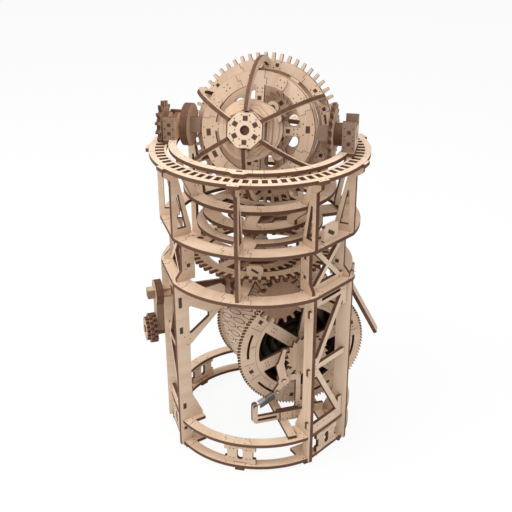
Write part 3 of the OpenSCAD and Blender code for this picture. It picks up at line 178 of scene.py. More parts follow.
class ClockSpring(bpy.types.PropertyGroup):
    """Sizes of the steel springs."""

    wire: FloatProperty(
        name="Wire", description="Thickness of the click spring's wire",
        unit="LENGTH", min=0.0005, max=0.001, default=0.0008)
    coil: FloatProperty(
        name="Coil", description="Radius of the coil at the middle of its wire",
        unit="LENGTH", min=0.0025, max=0.0036, default=0.0032)
    curls: IntProperty(
        name="Curls", description="Number of curls of the click spring",
        min=8, max=18, default=14)
    steel: FloatVectorProperty(
        name="Steel", description="Colour of the spring steel",
        subtype="COLOR", min=0, max=1, default=(0.23, 0.21, 0.2))
    blued: FloatVectorProperty(
        name="Blued steel", description="Colour of the dull power spring in the drum",
        subtype="COLOR", min=0, max=1, default=(0.11, 0.072, 0.052))


class ClockStage(bpy.types.PropertyGroup):
    """Camera, floor and lights."""

    lens: FloatProperty(
        name="Lens", description="Focal length on a 36 mm sensor",
        unit="CAMERA", min=20, max=200, default=60.33)
    azimuth: FloatProperty(
        name="Azimuth", description="Camera's angle to the right of the front",
        subtype="ANGLE", default=math.radians(12.5))
    pitch: FloatProperty(
        name="Pitch", description="How far the camera looks down",
        subtype="ANGLE", default=math.radians(25.95))
    distance: FloatProperty(
        name="Distance", description="Level distance of the camera from the tower's axis",
        unit="LENGTH", min=0.2, max=3, default=0.6519)
    height: FloatProperty(
        name="Height", description="Height of the camera above the floor",
        unit="LENGTH", min=0, max=2, default=0.4808)
    shift: FloatProperty(
        name="Shift", description="Sideways shift of the picture, as a share of its width",
        min=-0.1, max=0.1, default=-0.0078)
    key: FloatProperty(
        name="Key light", description="Power of the soft light from the left",
        unit="POWER", min=0, max=200, default=5.0)
    ceiling: FloatProperty(
        name="Ceiling light", description="Power of the wide soft light overhead",
        unit="POWER", min=0, max=200, default=29.0)
    sky: FloatProperty(
        name="Sky", description="Strength of the even light from all round",
        min=0, max=2, default=0.42)


class Socket:
    """A shader value. Arithmetic on it adds Math nodes to its material."""

    def __init__(self, shader, link):
        self.shader = shader
        self.link = link

    def math(self, operation, *others):
        """Result of a Math node on this value and others."""
        values = dict(enumerate((self, *others)))
        return self.shader.node("ShaderNodeMath", {"operation": operation}, values)

    def __add__(self, other):
        return self.math("ADD", other)

    __radd__ = __add__

    def __sub__(self, other):
        return self.math("SUBTRACT", other)

    def __rsub__(self, other):
        return self.shader.node("ShaderNodeMath", {"operation": "SUBTRACT"}, {0: other, 1: self})

    def __mul__(self, other):
        return self.math("MULTIPLY", other)

    __rmul__ = __mul__

    def __truediv__(self, other):
        return self.math("DIVIDE", other)

    def __pow__(self, other):
        return self.math("POWER", other)

    def __gt__(self, other):
        return self.math("GREATER_THAN", other)

    def __lt__(self, other):
        return self.math("LESS_THAN", other)

    def fract(self):
        """Part of the value after the point."""
        return self.math("FRACT")

    def floor(self):
        """Whole part of the value."""
        return self.math("FLOOR")

    def abs(self):
        """Value without its sign."""
        return self.math("ABSOLUTE")

    def clamped(self):
        """Value held between 0 and 1."""
        held = self.math("ADD", 0.0)
        held.link.node.use_clamp = True
        return held


class Shader:
    """One material and the short ways of adding nodes to it."""

    def __init__(self, name):
        self.material = bpy.data.materials.new(name)
        self.material.use_nodes = True
        self.tree = self.material.node_tree
        self.surface = next(n for n in self.tree.nodes if n.type == "BSDF_PRINCIPLED")

    def node(self, kind, settings=None, sockets=None, output=0):
        """A new node of a kind, its settings, then the values or links of its sockets."""
        made = self.tree.nodes.new(kind)
        for key, value in (settings or {}).items():
            setattr(made, key, value)
        for key, value in (sockets or {}).items():
            if isinstance(value, Socket):
                self.tree.links.new(value.link, made.inputs[key])
            else:
                made.inputs[key].default_value = value
        return Socket(self, made.outputs[output])

    def attribute(self, name):
        """A number that the mesh carries."""
        return self.node("ShaderNodeAttribute", {"attribute_name": name}, output="Fac")

    def place(self, name):
        """A coordinate of the piece: its Object place, or its sheet's own map."""
        if name == "Object":
            return self.node("ShaderNodeTexCoord", output="Object")
        return self.node("ShaderNodeUVMap", {"uv_map": name})

    def stretched(self, place, scale):
        """A coordinate scaled along each of its axes."""
        return self.node("ShaderNodeVectorMath", {"operation": "MULTIPLY"}, {0: place, 1: scale})

    def noise(self, place, detail=2.0, rough=0.5):
        """Soft noise from 0 to 1."""
        sockets = {"Vector": place, "Scale": 1.0, "Detail": detail, "Roughness": rough}
        return self.node("ShaderNodeTexNoise", None, sockets)

    def mixed(self, share, one, two):
        """Colour between two colours."""
        return self.node("ShaderNodeMix", {"data_type": "RGBA"}, {0: share, 6: one, 7: two}, output=2)

    def scaled_color(self, color, share):
        """Colour made lighter or darker by a number."""
        return self.node("ShaderNodeVectorMath", {"operation": "SCALE"}, {0: color, "Scale": share})

    def bump(self, height, strength, distance):
        """Surface normal raised by a height."""
        return self.node("ShaderNodeBump", None,
                         {"Height": height, "Strength": strength, "Distance": distance})

    def finish(self, **sockets):
        """Sets the surface's sockets and gives the material."""
        for key, value in sockets.items():
            socket = self.surface.inputs[key.replace("_", " ")]
            if isinstance(value, Socket):
                self.tree.links.new(value.link, socket)
            else:
                socket.default_value = value
        return self.material


def opaque(color, share=1.0):
    """Colour with full alpha, made darker by a share."""
    return (*(c * share for c in color), 1.0)


# Grain scales, in waves per metre along and across the fibres
FIBRE = (55.0, 1500.0, 1.0)
FIGURE = (7.0, 95.0, 1.0)
PORE = (330.0, 2600.0, 1.0)
PLIES_PER_METRE = 1000.0
LOOP_PITCH = 0.0062
LOOP_LENGTH = 0.027
LOOP_SLANT = 0.35


def birch_face(name, wood, pale, warm, loops=False):
    """Birch veneer with fine grain, short pores and a scorched rim."""
    sh = Shader(name)
    place = sh.place("sheet")
    fibre = sh.noise(sh.stretched(place, FIBRE), 4.0, 0.62)
    figure = sh.noise(sh.stretched(place, FIGURE), 3.0)
    pore = sh.noise(sh.stretched(place, PORE), 1.0) > 0.69
    tone = sh.attribute("tone")
    light = 0.62 + (fibre - 0.5) * 1.1 + (figure - 0.5) * 1.5 + tone * 0.22
    color = sh.mixed(light.clamped(), opaque(warm), opaque(pale))
    color = sh.mixed(pore * 0.16, color, opaque(warm, 0.55))
    burn = sh.attribute("scorch") ** 1.6 * 0.72
    if loops:
        burn = (burn + leaf_loops(sh, place) * 0.85).clamped()
    color = sh.mixed(burn, color, opaque(wood.edge_dark, 1.25))
    normal = sh.bump(fibre + figure, 0.22, 0.00012)
    return sh.finish(Base_Color=color, Roughness=0.56 + fibre * 0.16, Normal=normal,
                     Specular_IOR_Level=0.32)


def leaf_loops(sh, place):
    """Slanted rows of long closed cuts that let the drum's wall bend."""
    along = sh.node("ShaderNodeSeparateXYZ", None, {0: place})
    round_ = sh.node("ShaderNodeSeparateXYZ", None, {0: place}, output=1)
    across = (round_ + along * LOOP_SLANT) / LOOP_PITCH
    run = along / LOOP_LENGTH + across.floor() * 0.5
    x = (across.fract() - 0.5) / 0.34
    y = (run.fract() - 0.5) / 0.47
    return (x * x + y * y - 0.8).abs() < 0.2


def burnt_edge(name, light_color, dark_color):
    """Laser-cut edge whose plies show as lighter and darker bands."""
    sh = Shader(name)
    place = sh.place("sheet")
    depth = sh.node("ShaderNodeSeparateXYZ", None, {0: place}, output=1) * PLIES_PER_METRE
    ply = (depth.floor() * 0.5).fract() * 2.0
    glue = (depth.fract() - 0.5).abs() > 0.43
    streak = sh.noise(sh.stretched(place, (260.0, 1400.0, 1.0)), 4.0, 0.6)
    cloud = sh.noise(sh.stretched(place, (45.0, 60.0, 1.0)), 2.0)
    light = 0.56 + (streak - 0.5) * 1.3 + (cloud - 0.5) * 1.2 - ply * 0.22 - glue * 0.22
    light = light + sh.attribute("tone") * 0.18
    color = sh.mixed(light.clamped(), opaque(dark_color), opaque(light_color))
    normal = sh.bump(streak, 0.3, 0.00015)
    return sh.finish(Base_Color=color, Roughness=0.66 + streak * 0.18, Normal=normal,
                     Specular_IOR_Level=0.22)


def tenon_end(name, wood):
    """Cut end of a tenon, close to the colour of a burnt edge."""
    sh = Shader(name)
    grain = sh.noise(sh.stretched(sh.place("Object"), (1600.0, 1600.0, 1600.0)), 3.0)
    color = sh.mixed(grain, opaque(wood.edge_dark, 0.75), opaque(wood.edge_brown, 0.72))
    return sh.finish(Base_Color=color, Roughness=0.72 + grain * 0.12,
                     Normal=sh.bump(grain, 0.3, 0.0001))


def laser_mark(name, wood):
    """Burnt line or dot left by the cutter."""
    sh = Shader(name)
    soot = sh.noise(sh.stretched(sh.place("Object"), (900.0, 900.0, 900.0)), 2.0)
    color = sh.mixed(soot, opaque(wood.edge_dark, 0.35), opaque(wood.edge_dark, 0.95))
    return sh.finish(Base_Color=color, Roughness=0.85 - soot * 0.1)


def turned_dowel(name, wood):
    """Smooth birch dowel with its grain along its length."""
    sh = Shader(name)
    place = sh.place("sheet")
    fibre = sh.noise(sh.stretched(place, (70.0, 1900.0, 1.0)), 3.0, 0.6)
    figure = sh.noise(sh.stretched(place, (20.0, 300.0, 1.0)), 2.0)
    light = 0.45 + (fibre - 0.5) * 1.0 + (figure - 0.5) * 1.2
    color = sh.mixed(light.clamped(), opaque(wood.warm, 0.62), opaque(wood.pale, 0.78))
    return sh.finish(Base_Color=color, Roughness=0.42 + fibre * 0.16,
                     Normal=sh.bump(fibre, 0.2, 0.0001), Specular_IOR_Level=0.4)


def spring_steel(name, steel, rough=0.24):
    """Drawn steel with a dull sheen."""
    sh = Shader(name)
    drawn = sh.noise(sh.stretched(sh.place("Object"), (2400.0, 2400.0, 2400.0)), 2.0)
    stain = sh.noise(sh.stretched(sh.place("Object"), (260.0, 260.0, 260.0)), 3.0)
    color = sh.mixed((stain * 1.4 - 0.2).clamped(), opaque(steel, 0.72), opaque(steel, 1.25))
    return sh.finish(Base_Color=color, Metallic=1.0, Roughness=rough + drawn * 0.2,
                     Normal=sh.bump(drawn, 0.1, 0.00005))


MATERIALS = {}


def make_materials(scene):
    """Makes the clock's finishes once, by name."""
    wood = scene.clock_wood
    MATERIALS.update({
        "plate_face": birch_face("plate_face", wood, wood.pale, wood.warm),
        "plate_edge": burnt_edge("plate_edge", wood.edge_brown, wood.edge_dark),
        "layer_edge": burnt_edge("layer_edge", wood.pale, wood.gear_warm),
        "gear_face": birch_face("gear_face", wood, wood.gear_pale, wood.gear_warm),
        # Gear face with painted shade, for the gears that sit in shade under the mid shelf
        "shaded_gear_face": birch_face("shaded_gear_face", wood, wood.shaded_gear_pale, wood.edge_brown),
        "gear_edge": burnt_edge("gear_edge", wood.edge_brown, wood.edge_dark),
        "bent_face": birch_face("bent_face", wood, wood.pale, wood.warm, loops=True),
        "dowel": turned_dowel("dowel", wood),
        "tenon_end": tenon_end("tenon_end", wood),
        "laser_mark": laser_mark("laser_mark", wood),
        "spring_steel": spring_steel("spring_steel", scene.clock_spring.steel),
        "blued_steel": spring_steel("blued_steel", scene.clock_spring.blued, 0.5),
    })


FINISHES = {
    "birch_ply": ("plate_face", "plate_edge"),
    "dark_ply": ("gear_face", "gear_edge"),
    "dowel": ("dowel", "plate_edge"),
}
OWN_FINISH = {
    "hub_stack": ("plate_face", "layer_edge"),
    # The train and crank gears take the gear face with painted shade
    "train_wheels": ("shaded_gear_face", "gear_edge"),
    "crank_gear": ("shaded_gear_face", "gear_edge"),
}
FACE, EDGE, BENT = 0, 1, 2


def new_piece(name, bm, finishes, body):
    """Turns a bmesh into a piece with its finishes that rides on a body."""
    mesh = bpy.data.meshes.new(name)
    bm.to_mesh(mesh)
    bm.free()
    for finish in finishes:
        mesh.materials.append(MATERIALS[finish])
    piece = bpy.data.objects.new(name, mesh)
    bpy.context.scene.collection.objects.link(piece)
    if body is not None:
        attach(piece, body)
    return piece


def islands(bm):
    """Lists of faces that hang together."""
    left = set(bm.faces)
    found = []
    while left:
        stack = [left.pop()]
        group = []
        while stack:
            face = stack.pop()
            group.append(face)
            for edge in face.edges:
                for near in edge.link_faces:
                    if near in left:
                        left.remove(near)
                        stack.append(near)
        found.append(group)
    return sorted(found, key=lambda group: tuple(group[0].calc_center_median()))


def sheet_normal(faces):
    """Direction that most of a sheet's flat surface faces."""
    areas = {}
    for face in faces:
        n = face.normal
        lead = max(range(3), key=lambda i: abs(n[i]))
        if n[lead] < 0:
            n = -n
        key = tuple(round(c, 2) for c in n)
        total, area = areas.get(key, (Vector((0, 0, 0)), 0.0))
        size = face.calc_area()
        areas[key] = (total + n * size, area + size)
    return max(areas.values(), key=lambda row: row[1])[0].normalized()


def grain_axis(normal, turn):
    """Fibre direction in the plane of a sheet."""
    guide = RIGHT if abs(normal.x) < 0.8 else UP
    flat = (guide - normal * guide.dot(normal)).normalized()
    return Matrix.Rotation(turn, 3, normal) @ flat


def flat_patch(seed, left):
    """Takes from left the faces that go on from a face in its own plane."""
    stack = [seed]
    patch = []
    while stack:
        face = stack.pop()
        patch.append(face)
        for edge in face.edges:
            for near in edge.link_faces:
                if near in left and near.normal.dot(seed.normal) > 0.999:
                    left.remove(near)
                    stack.append(near)
    return patch


def wide_faces(faces):
    """The faces whose flat patch is wider than the edge of a sheet."""
    wide = set()
    left = set(faces)
    for seed in faces:
        if seed not in left:
            continue
        left.remove(seed)
        patch = flat_patch(seed, left)
        inside = set(patch)
        rim = sum(edge.calc_length() for face in patch for edge in face.edges
                  if not inside.issuperset(edge.link_faces))
        if 2 * sum(face.calc_area() for face in patch) > WIDE_FACE * rim:
            wide |= inside
    return wide


def map_faces(bm, faces, normal, grain, kind, shift, tone, layers):
    """Lays the sheet's map and tone over its faces and sorts faces from edges."""
    uv, tone_layer = layers
    cross = normal.cross(grain)
    low = min(v.co.dot(normal) for f in faces for v in f.verts)
    middle = sum((f.calc_center_median() for f in faces), Vector()) / len(faces)
    wide = wide_faces(faces) if kind == "sheet" else set()
    for face in faces:
        flat = abs(face.normal.dot(normal)) > 0.97
        if kind == "sheet":
            face.material_index = FACE if flat or face in wide else EDGE
        elif kind == "bent":
            face.material_index = EDGE if flat else BENT
        else:
            face.material_index = EDGE if flat else FACE
        face[tone_layer] = tone
        along = normal.cross(face.normal)
        along = along.normalized() if along.length > 0.01 else grain
        for loop in face.loops:
            co = loop.vert.co
            if kind == "sheet" and not flat:
                place = (co.dot(along), co.dot(normal) - low)
            elif kind != "sheet" and not flat:
                arm = co - middle
                arm = arm - normal * arm.dot(normal)
                angle = math.atan2(arm.dot(cross), arm.dot(grain))
                place = (co.dot(normal), angle * arm.length)
            else:
                place = (co.dot(grain) + shift, co.dot(cross) + shift)
            loop[uv].uv = place


MERGE = 2e-6
WIDE_FACE = 0.0034
FLAT_ANGLE = math.radians(0.4)
SHARP_ANGLE = math.radians(28)
RIM_REACH = 3.0


def dress_node(scene, node, body):
    """Copies a node, merges its triangles, and gives its sheets faces, rims and edges."""
    draw = random.Random(node)
    slot = SLOT_OF[node]
    bm = bmesh.new()
    bm.from_mesh(frame["nodes"][node].data)
    bmesh.ops.remove_doubles(bm, verts=bm.verts, dist=MERGE)
    bmesh.ops.dissolve_limit(bm, angle_limit=FLAT_ANGLE, verts=bm.verts, edges=bm.edges,
                             delimit=set())
    uv = bm.loops.layers.uv.new("sheet")
    tone = bm.faces.layers.float.new("tone")
    scorch = bm.verts.layers.float.new("scorch")
    for faces in islands(bm):
        kind = "rod" if node in ROD_AXES else "sheet"
        normal = ROD_AXES.get(node) or sheet_normal(faces)
        if node == BENT_NODE and is_wall(faces):
            kind = "bent"
            normal = joint_axis("drum_turn")
        grain = grain_axis(normal, draw.choice((0.0, 0.5)) * math.pi + draw.uniform(-0.05, 0.05))
        map_faces(bm, faces, normal, grain, kind, draw.uniform(0, 3), draw.uniform(-1, 1), (uv, tone))
        if kind == "sheet":
            scorch_rim(bm, faces, scorch, scene.clock_wood.rim)
    smooth_edges(bm)
    face, edge = OWN_FINISH.get(node) or FINISHES[slot]
    piece = new_piece(node + "_wood", bm, (face, edge, "bent_face"), body)
    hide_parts(node)
    return piece


def is_wall(faces):
    """Whether a group of the drum's faces is its bent wall."""
    axis = joint_axis("drum_turn")
    reach = [v.co.dot(axis) for f in faces for v in f.verts]
    return max(reach) - min(reach) > 0.01


def scorch_rim(bm, faces, layer, width):
    """Insets the flat faces of a sheet and marks the cut line as scorched."""
    planes = {}
    for face in faces:
        if face.material_index == FACE:
            planes.setdefault(tuple(round(c, 1) for c in face.normal), []).append(face)
    for flats in planes.values():
        made = bmesh.ops.inset_region(bm, faces=flats, thickness=width, use_even_offset=True,
                                      use_boundary=True, use_interpolate=True)
        inner = {v for f in flats if f.is_valid for v in f.verts}
        for face in made["faces"]:
            for vert in face.verts:
                if vert not in inner:
                    vert[layer] = 1.0
            for edge in face.edges:
                hold_rim(edge, inner, width)


def hold_rim(edge, inner, width):
    """Keeps an inset corner near its cut, where the cut's angle is very sharp."""
    ends = sorted(edge.verts, key=lambda v: v in inner)
    if (ends[0] in inner) == (ends[1] in inner):
        return
    reach = ends[1].co - ends[0].co
    if reach.length > RIM_REACH * width:
        ends[1].co = ends[0].co + reach.normalized() * width


def smooth_edges(bm):
    """Shades curved cuts smoothly and keeps the corners crisp."""
    for face in bm.faces:
        face.smooth = face.material_index != FACE or len(face.verts) == 4
    for edge in bm.edges:
        edge.smooth = len(edge.link_faces) == 2 and edge.calc_face_angle(math.pi) < SHARP_ANGLE


def dress_bodies(scene, *names):
    """Dresses every wooden node of the named bodies."""
    for body in names:
        for node in BODIES[body]:
            if SLOT_OF[node] in FINISHES:
                dress_node(scene, node, body)


PLATE_CUT = 1.6 * MM


class Marks:
    """Collects the tenon ends, dots and seams of one body in one piece."""

    TENON, LINE, FACE = 0, 1, 2

    def __init__(self, scene, name, body):
        self.sizes = scene.clock_marks
        self.sheet = scene.clock_wood.sheet
        self.name = name
        self.body = body
        self.bm = bmesh.new()
        self.uv = self.bm.loops.layers.uv.new("sheet")

    def tab(self, at, width, height, depth):
        """A sheet's end that stands out of a slot, dark at its end and pale outward."""
        made = self.block(at @ Matrix.Translation((0, 0, depth / 2)), (width, height, depth), self.TENON)
        out = at.to_3x3().col[0]
        for face in {f for v in made for f in v.link_faces}:
            face.normal_update()
            if abs(face.normal.dot(out)) > 0.9:
                face.material_index = self.FACE

    def slotted(self, at, width, height, thick):
        """A plate that stands on its edge, with a slanted slot."""
        self.plate(at, width, height, thick, dotted=False)
        for z in (0.0, thick):
            slot = at @ Matrix.Translation((0, 0, z)) @ turned(-32)
            self.tenon(slot, width * 0.5, height * 0.22)

    def plate(self, at, width, height, thick, dotted=True):
        """A small pale plate with clipped corners on a face, with four dots."""
        made = self.block(at @ Matrix.Translation((0, 0, thick / 2)), (width, height, thick), self.FACE)
        out = at.to_3x3().col[2]
        corners = [e for v in made for e in v.link_edges
                   if abs((e.verts[0].co - e.verts[1].co).normalized().dot(out)) > 0.9]
        cut = bmesh.ops.bevel(self.bm, geom=list(set(corners)), offset=PLATE_CUT, segments=3, profile=0.5,
                              affect="EDGES", material=-1)
        for face in {f for v in made if v.is_valid for f in v.link_faces} | set(cut["faces"]):
            flat = abs(face.normal.dot(out)) > 0.9
            face.material_index = self.FACE if flat else self.TENON
            for loop in face.loops:
                local = at.inverted() @ loop.vert.co
                loop[self.uv].uv = (local.x + at.translation.x, local.y + at.translation.z)
        if dotted:
            self.dots(at @ Matrix.Translation((0, 0, thick)), width * 0.26, height * 0.24)

    def paint(self, verts, finish):
        """Gives the faces round new vertices a finish."""
        for face in {f for v in verts for f in v.link_faces}:
            face.material_index = finish

    def block(self, at, size, finish):
        """A box centred on a frame."""
        shape = at @ Matrix.Diagonal((*size, 1.0))
        made = bmesh.ops.create_cube(self.bm, size=1.0, matrix=shape)["verts"]
        self.paint(made, finish)
        return made

    def dot(self, at):
        """An engraved dot on a face whose outward side is the frame's Z."""
        made = bmesh.ops.create_cone(
            self.bm, cap_ends=True, segments=10, radius1=self.sizes.dot, radius2=self.sizes.dot,
            depth=self.sizes.relief, matrix=at)
        self.paint(made["verts"], self.LINE)

    def dots(self, at, spread_x, spread_y):
        """Four dots round a place."""
        for x in (-spread_x, spread_x):
            for y in (-spread_y, spread_y):
                self.dot(at @ Matrix.Translation((x, y, 0)))

    def tenon(self, at, width=None, height=None, depth=None):
        """The end of a tenon, with the crossed saw lines of a wide one."""
        w = width or self.sizes.tenon
        h = height or w
        d = depth or 2 * self.sizes.relief
        self.block(at, (w, h, d), self.TENON)
        self.block(at, (w * 0.1, h * 0.96, d + self.sizes.relief), self.LINE)
        self.block(at, (w * 0.96, w * 0.1, d + self.sizes.relief), self.LINE)

    def seam(self, at, length):
        """A straight seam along the frame's X."""
        self.block(at, (length, self.sizes.seam, self.sizes.relief), self.LINE)

    def jigsaw(self, at, length):
        """A seam along X with one step in its middle."""
        step = length * 0.22
        self.seam(at @ Matrix.Translation((-length / 4, -step / 2, 0)), length / 2)
        self.seam(at @ Matrix.Translation((length / 4, step / 2, 0)), length / 2)
        self.seam(at @ Matrix.Rotation(math.pi / 2, 4, "Z"), step)

    def finish(self, slot="birch_ply"):
        """Makes the piece."""
        return new_piece(self.name, self.bm, ("tenon_end", "laser_mark", "plate_face"), self.body)


def turned(degrees):
    """Turn about Z."""
    return Matrix.Rotation(math.radians(degrees), 4, "Z")


def moved(x, y, z=0.0):
    """Move in millimetres."""
    return Matrix.Translation((x * MM, y * MM, z * MM))


def facing(angle, distance):
    """Frame on an upright sheet that faces outwards: X level, Y up, Z out."""
    return turned(angle) @ basis((distance, 0, 0), (0, 1, 0), (1, 0, 0))


def column_side(angle, side, radius, height, half):
    """Frame on one face of a sheet that stands on a radius."""
    return turned(angle) @ basis((radius, side * half, height), (-side, 0, 0), (0, side, 0))


class CLOCK_OT_tower(bpy.types.Operator):
    """Dress the tower, its shelves, its dial and its brackets"""

    bl_idname = "clock.tower"
    bl_label = "Tower"

    def execute(self, context):
        dress_bodies(context.scene, "frame")
        return {"FINISHED"}


class CLOCK_OT_carriage(bpy.types.Operator):
    """Dress the carriage that turns on the tower's axis"""

    bl_idname = "clock.carriage"
    bl_label = "Carriage"

    def execute(self, context):
        dress_bodies(context.scene, "carriage")
        return {"FINISHED"}


class CLOCK_OT_cage(bpy.types.Operator):
    """Dress the tumbling cage with its core, escape wheel, fork and balance"""

    bl_idname = "clock.cage"
    bl_label = "Cage and core"

    def execute(self, context):
        dress_bodies(context.scene, "cage", "core", "escape", "fork", "balance")
        return {"FINISHED"}


class CLOCK_OT_drive(bpy.types.Operator):
    """Dress the spring drum, its ratchet and click, and the train"""

    bl_idname = "clock.drive"
    bl_label = "Drum and train"

    def execute(self, context):
        dress_bodies(context.scene, "drum", "arbor", "click", "train")
        return {"FINISHED"}


class CLOCK_OT_crank(bpy.types.Operator):
    """Dress the setting crank and the stop lever"""

    bl_idname = "clock.crank"
    bl_label = "Crank and lever"

    def execute(self, context):
        dress_bodies(context.scene, "crank", "knob", "lever")
        return {"FINISHED"}


class CLOCK_OT_tower_marks(bpy.types.Operator):
    """Mark the tower's sheets with tenon ends, dots and seams"""

    bl_idname = "clock.tower_marks"
    bl_label = "Tower marks"

    def execute(self, context):
        marks = Marks(context.scene, "tower_marks", "frame")
        self.mark_rings(marks)
        self.mark_uprights(marks)
        self.mark_panels(marks)
        self.mark_brackets(marks)
        marks.finish()
        return {"FINISHED"}

    def mark_rings(self, marks):
        """Dots and seams on the dial, the shelves and the base rings."""
        dial = span("dial_ring")[1].z / MM
        for angle in POSTS:
            for side in (-2.2, 2.2):
                marks.dot(turned(angle) @ moved(88.2, side, dial))
            marks.seam(turned(angle + 8) @ moved(79.5, 0, dial) @ moved(6.2, 0), 4 * MM)
        shelves = (("mid_shelf", 71.4, 81.5), ("second_shelf", 70.4, 80.6),
                   ("base_upper_ring", 73.4, 79.4), ("base_lower_ring", 73.4, 79.4))
        for node, near, far in shelves:
            low, high = span(node)
            middle = (near + far) / 2
            length = (far - near) * 1.25 * MM
            for angle in POSTS:
                if node == "mid_shelf" and angle == ARCS[1]:
                    continue
                for turn in (-3.4, 3.4):
                    for radius in (near, far):
                        marks.dot(turned(angle + turn) @ moved(radius, 0, high.z / MM))
                for z in (low.z, high.z):
                    marks.jigsaw(turned(angle + 6.5) @ moved(middle, 0, z / MM), length)
            marks.jigsaw(turned(ARCS[0] - 9.5) @ moved(middle, 0, high.z / MM), length)

    def mark_uprights(self, marks):
        """Tenon ends on the columns and in the posts."""
        half = marks.sheet / 2
        top = span("columns")[1].z
        foot = span("base_upper_ring")[1].z
        stations = ((top - 16 * MM, 9.5 * MM), (top - 42 * MM, 6 * MM), (foot + 14 * MM, 5.5 * MM),
                    (foot - 9 * MM, 3 * MM))
        tabs = ((top - 13 * MM, 6 * MM), (top - 67 * MM, 6 * MM), (foot + 12 * MM, 6 * MM))
        for flat in FLATS:
            for height, length in stations:
                marks.tenon(column_side(flat + COLUMN_HALF, 1, 78.8 * MM, height, half), 3 * MM, length)
            for height, length in tabs:
                at = column_side(flat - COLUMN_HALF, -1, 80.2 * MM, height, half)
                marks.tab(at, 3 * MM, length, 2.2 * MM)
        for angle in (FLATS[1] + COLUMN_HALF, FLATS[2] + COLUMN_HALF):
            for side in (-1, 1):
                for radius, drop in ((76, 49), (71, 52), (73.5, 57), (50, 33)):
                    marks.dot(column_side(angle, side, radius * MM, top - drop * MM, half))
                marks.tenon(column_side(angle, side, 41 * MM, top - 19 * MM, half), 3 * MM, 3.4 * MM)
        low, high = span("mid_posts")
        tall = high.z - low.z
        for angle in COLUMNS:
            for share in (0.34, 0.79):
                at = column_side(angle, 1, 69.75 * MM, low.z + tall * share, 0.0)
                marks.tenon(at, depth=marks.sheet + 2 * marks.sizes.relief)
                for side in (-1, 1):
                    near = column_side(angle, side, 69.75 * MM, low.z + tall * share, half)
                    for y in (-3.0, 3.0):
                        marks.dot(near @ moved(-2.6, y))

    def mark_panels(self, marks):
        """Dots on the truss panels and the base plates."""
        low, high = span("side_trusses")
        half = 18.0
        middle = (low.z + high.z) / 2 / MM
        for angle in FLATS:
            outer = facing(angle, 77 * MM)
            for x, y in ((-half, middle), (half - 3, high.z / MM - 4), (half - 3, low.z / MM + 4)):
                marks.dots(outer @ moved(x, y), 1.3 * MM, 1.3 * MM)
            for y in (middle - 6.5, middle + 6.5):
                marks.dot(outer @ moved(-half, y))
            for x in (-12, -4, 4, 12):
                marks.dot(outer @ moved(x, low.z / MM + 5.5))
        tabs_low, tabs_high = span("base_tabs")
        centre = (tabs_low.z + tabs_high.z) / 2 / MM
        for angle in FLATS + ARCS:
            for out, turn in ((78.0, 0), (75.0, 180)):
                plate = facing(angle, out * MM) @ Matrix.Rotation(math.radians(turn), 4, "Y")
                for side in (-7.2, 7.2):
                    marks.dots(plate @ moved(side, centre), 1.5 * MM, 4.6 * MM)
                for level in (tabs_low.z / MM + 1.0, tabs_high.z / MM - 1.0):
                    marks.seam(plate @ moved(0, level), 12 * MM)
        second = span("mid_trusses")
        for angle in FLATS:
            outer = facing(angle, 73 * MM)
            for x in (-15, 0, 15):
                for y in (second[0].z / MM + 2.2, second[1].z / MM - 2.0):
                    marks.dot(outer @ moved(x, y))
        shelf = span("second_shelf")[1].z / MM
        marks.slotted(facing(FLATS[0], 72.5 * MM) @ moved(-1.5, shelf + 6.9), 17 * MM, 13.8 * MM, marks.sheet)

    def mark_brackets(self, marks):
        """Dots on the drum's front bracket and on the arm of the click spring."""
        low, high = span("drum_front_bracket", DRUM)
        face = span("spring_arm", DRUM)[0].z / MM
        for y in (-4, 4):
            marks.dots(DRUM @ moved(-7.8, y, face), 1.0 * MM, 1.4 * MM)
        for x in (-7, 7):
            marks.tenon(DRUM @ moved(x, low.y / MM + 7, face))
            marks.dots(DRUM @ moved(x, low.y / MM + 7, face), 2.4 * MM, 2.4 * MM)
        arm_low, arm_high = span("spring_arm", DRUM)
        front = (arm_low.z + 2 * marks.sheet) / MM
        for x in (-21.5, -17.5, -8.5, -4.5):
            for y in (2.0, 7.0):
                marks.dot(DRUM @ moved(x, arm_low.y / MM + y, front))
        marks.seam(DRUM @ moved(-13, arm_low.y / MM + 4.5, front) @ turned(90), 8 * MM)
        for x, y in ((-7, -14), (-1, -14), (-7, -62 + 12)):
            marks.dots(DRUM @ moved(x, y, face), 1.4 * MM, 1.6 * MM)


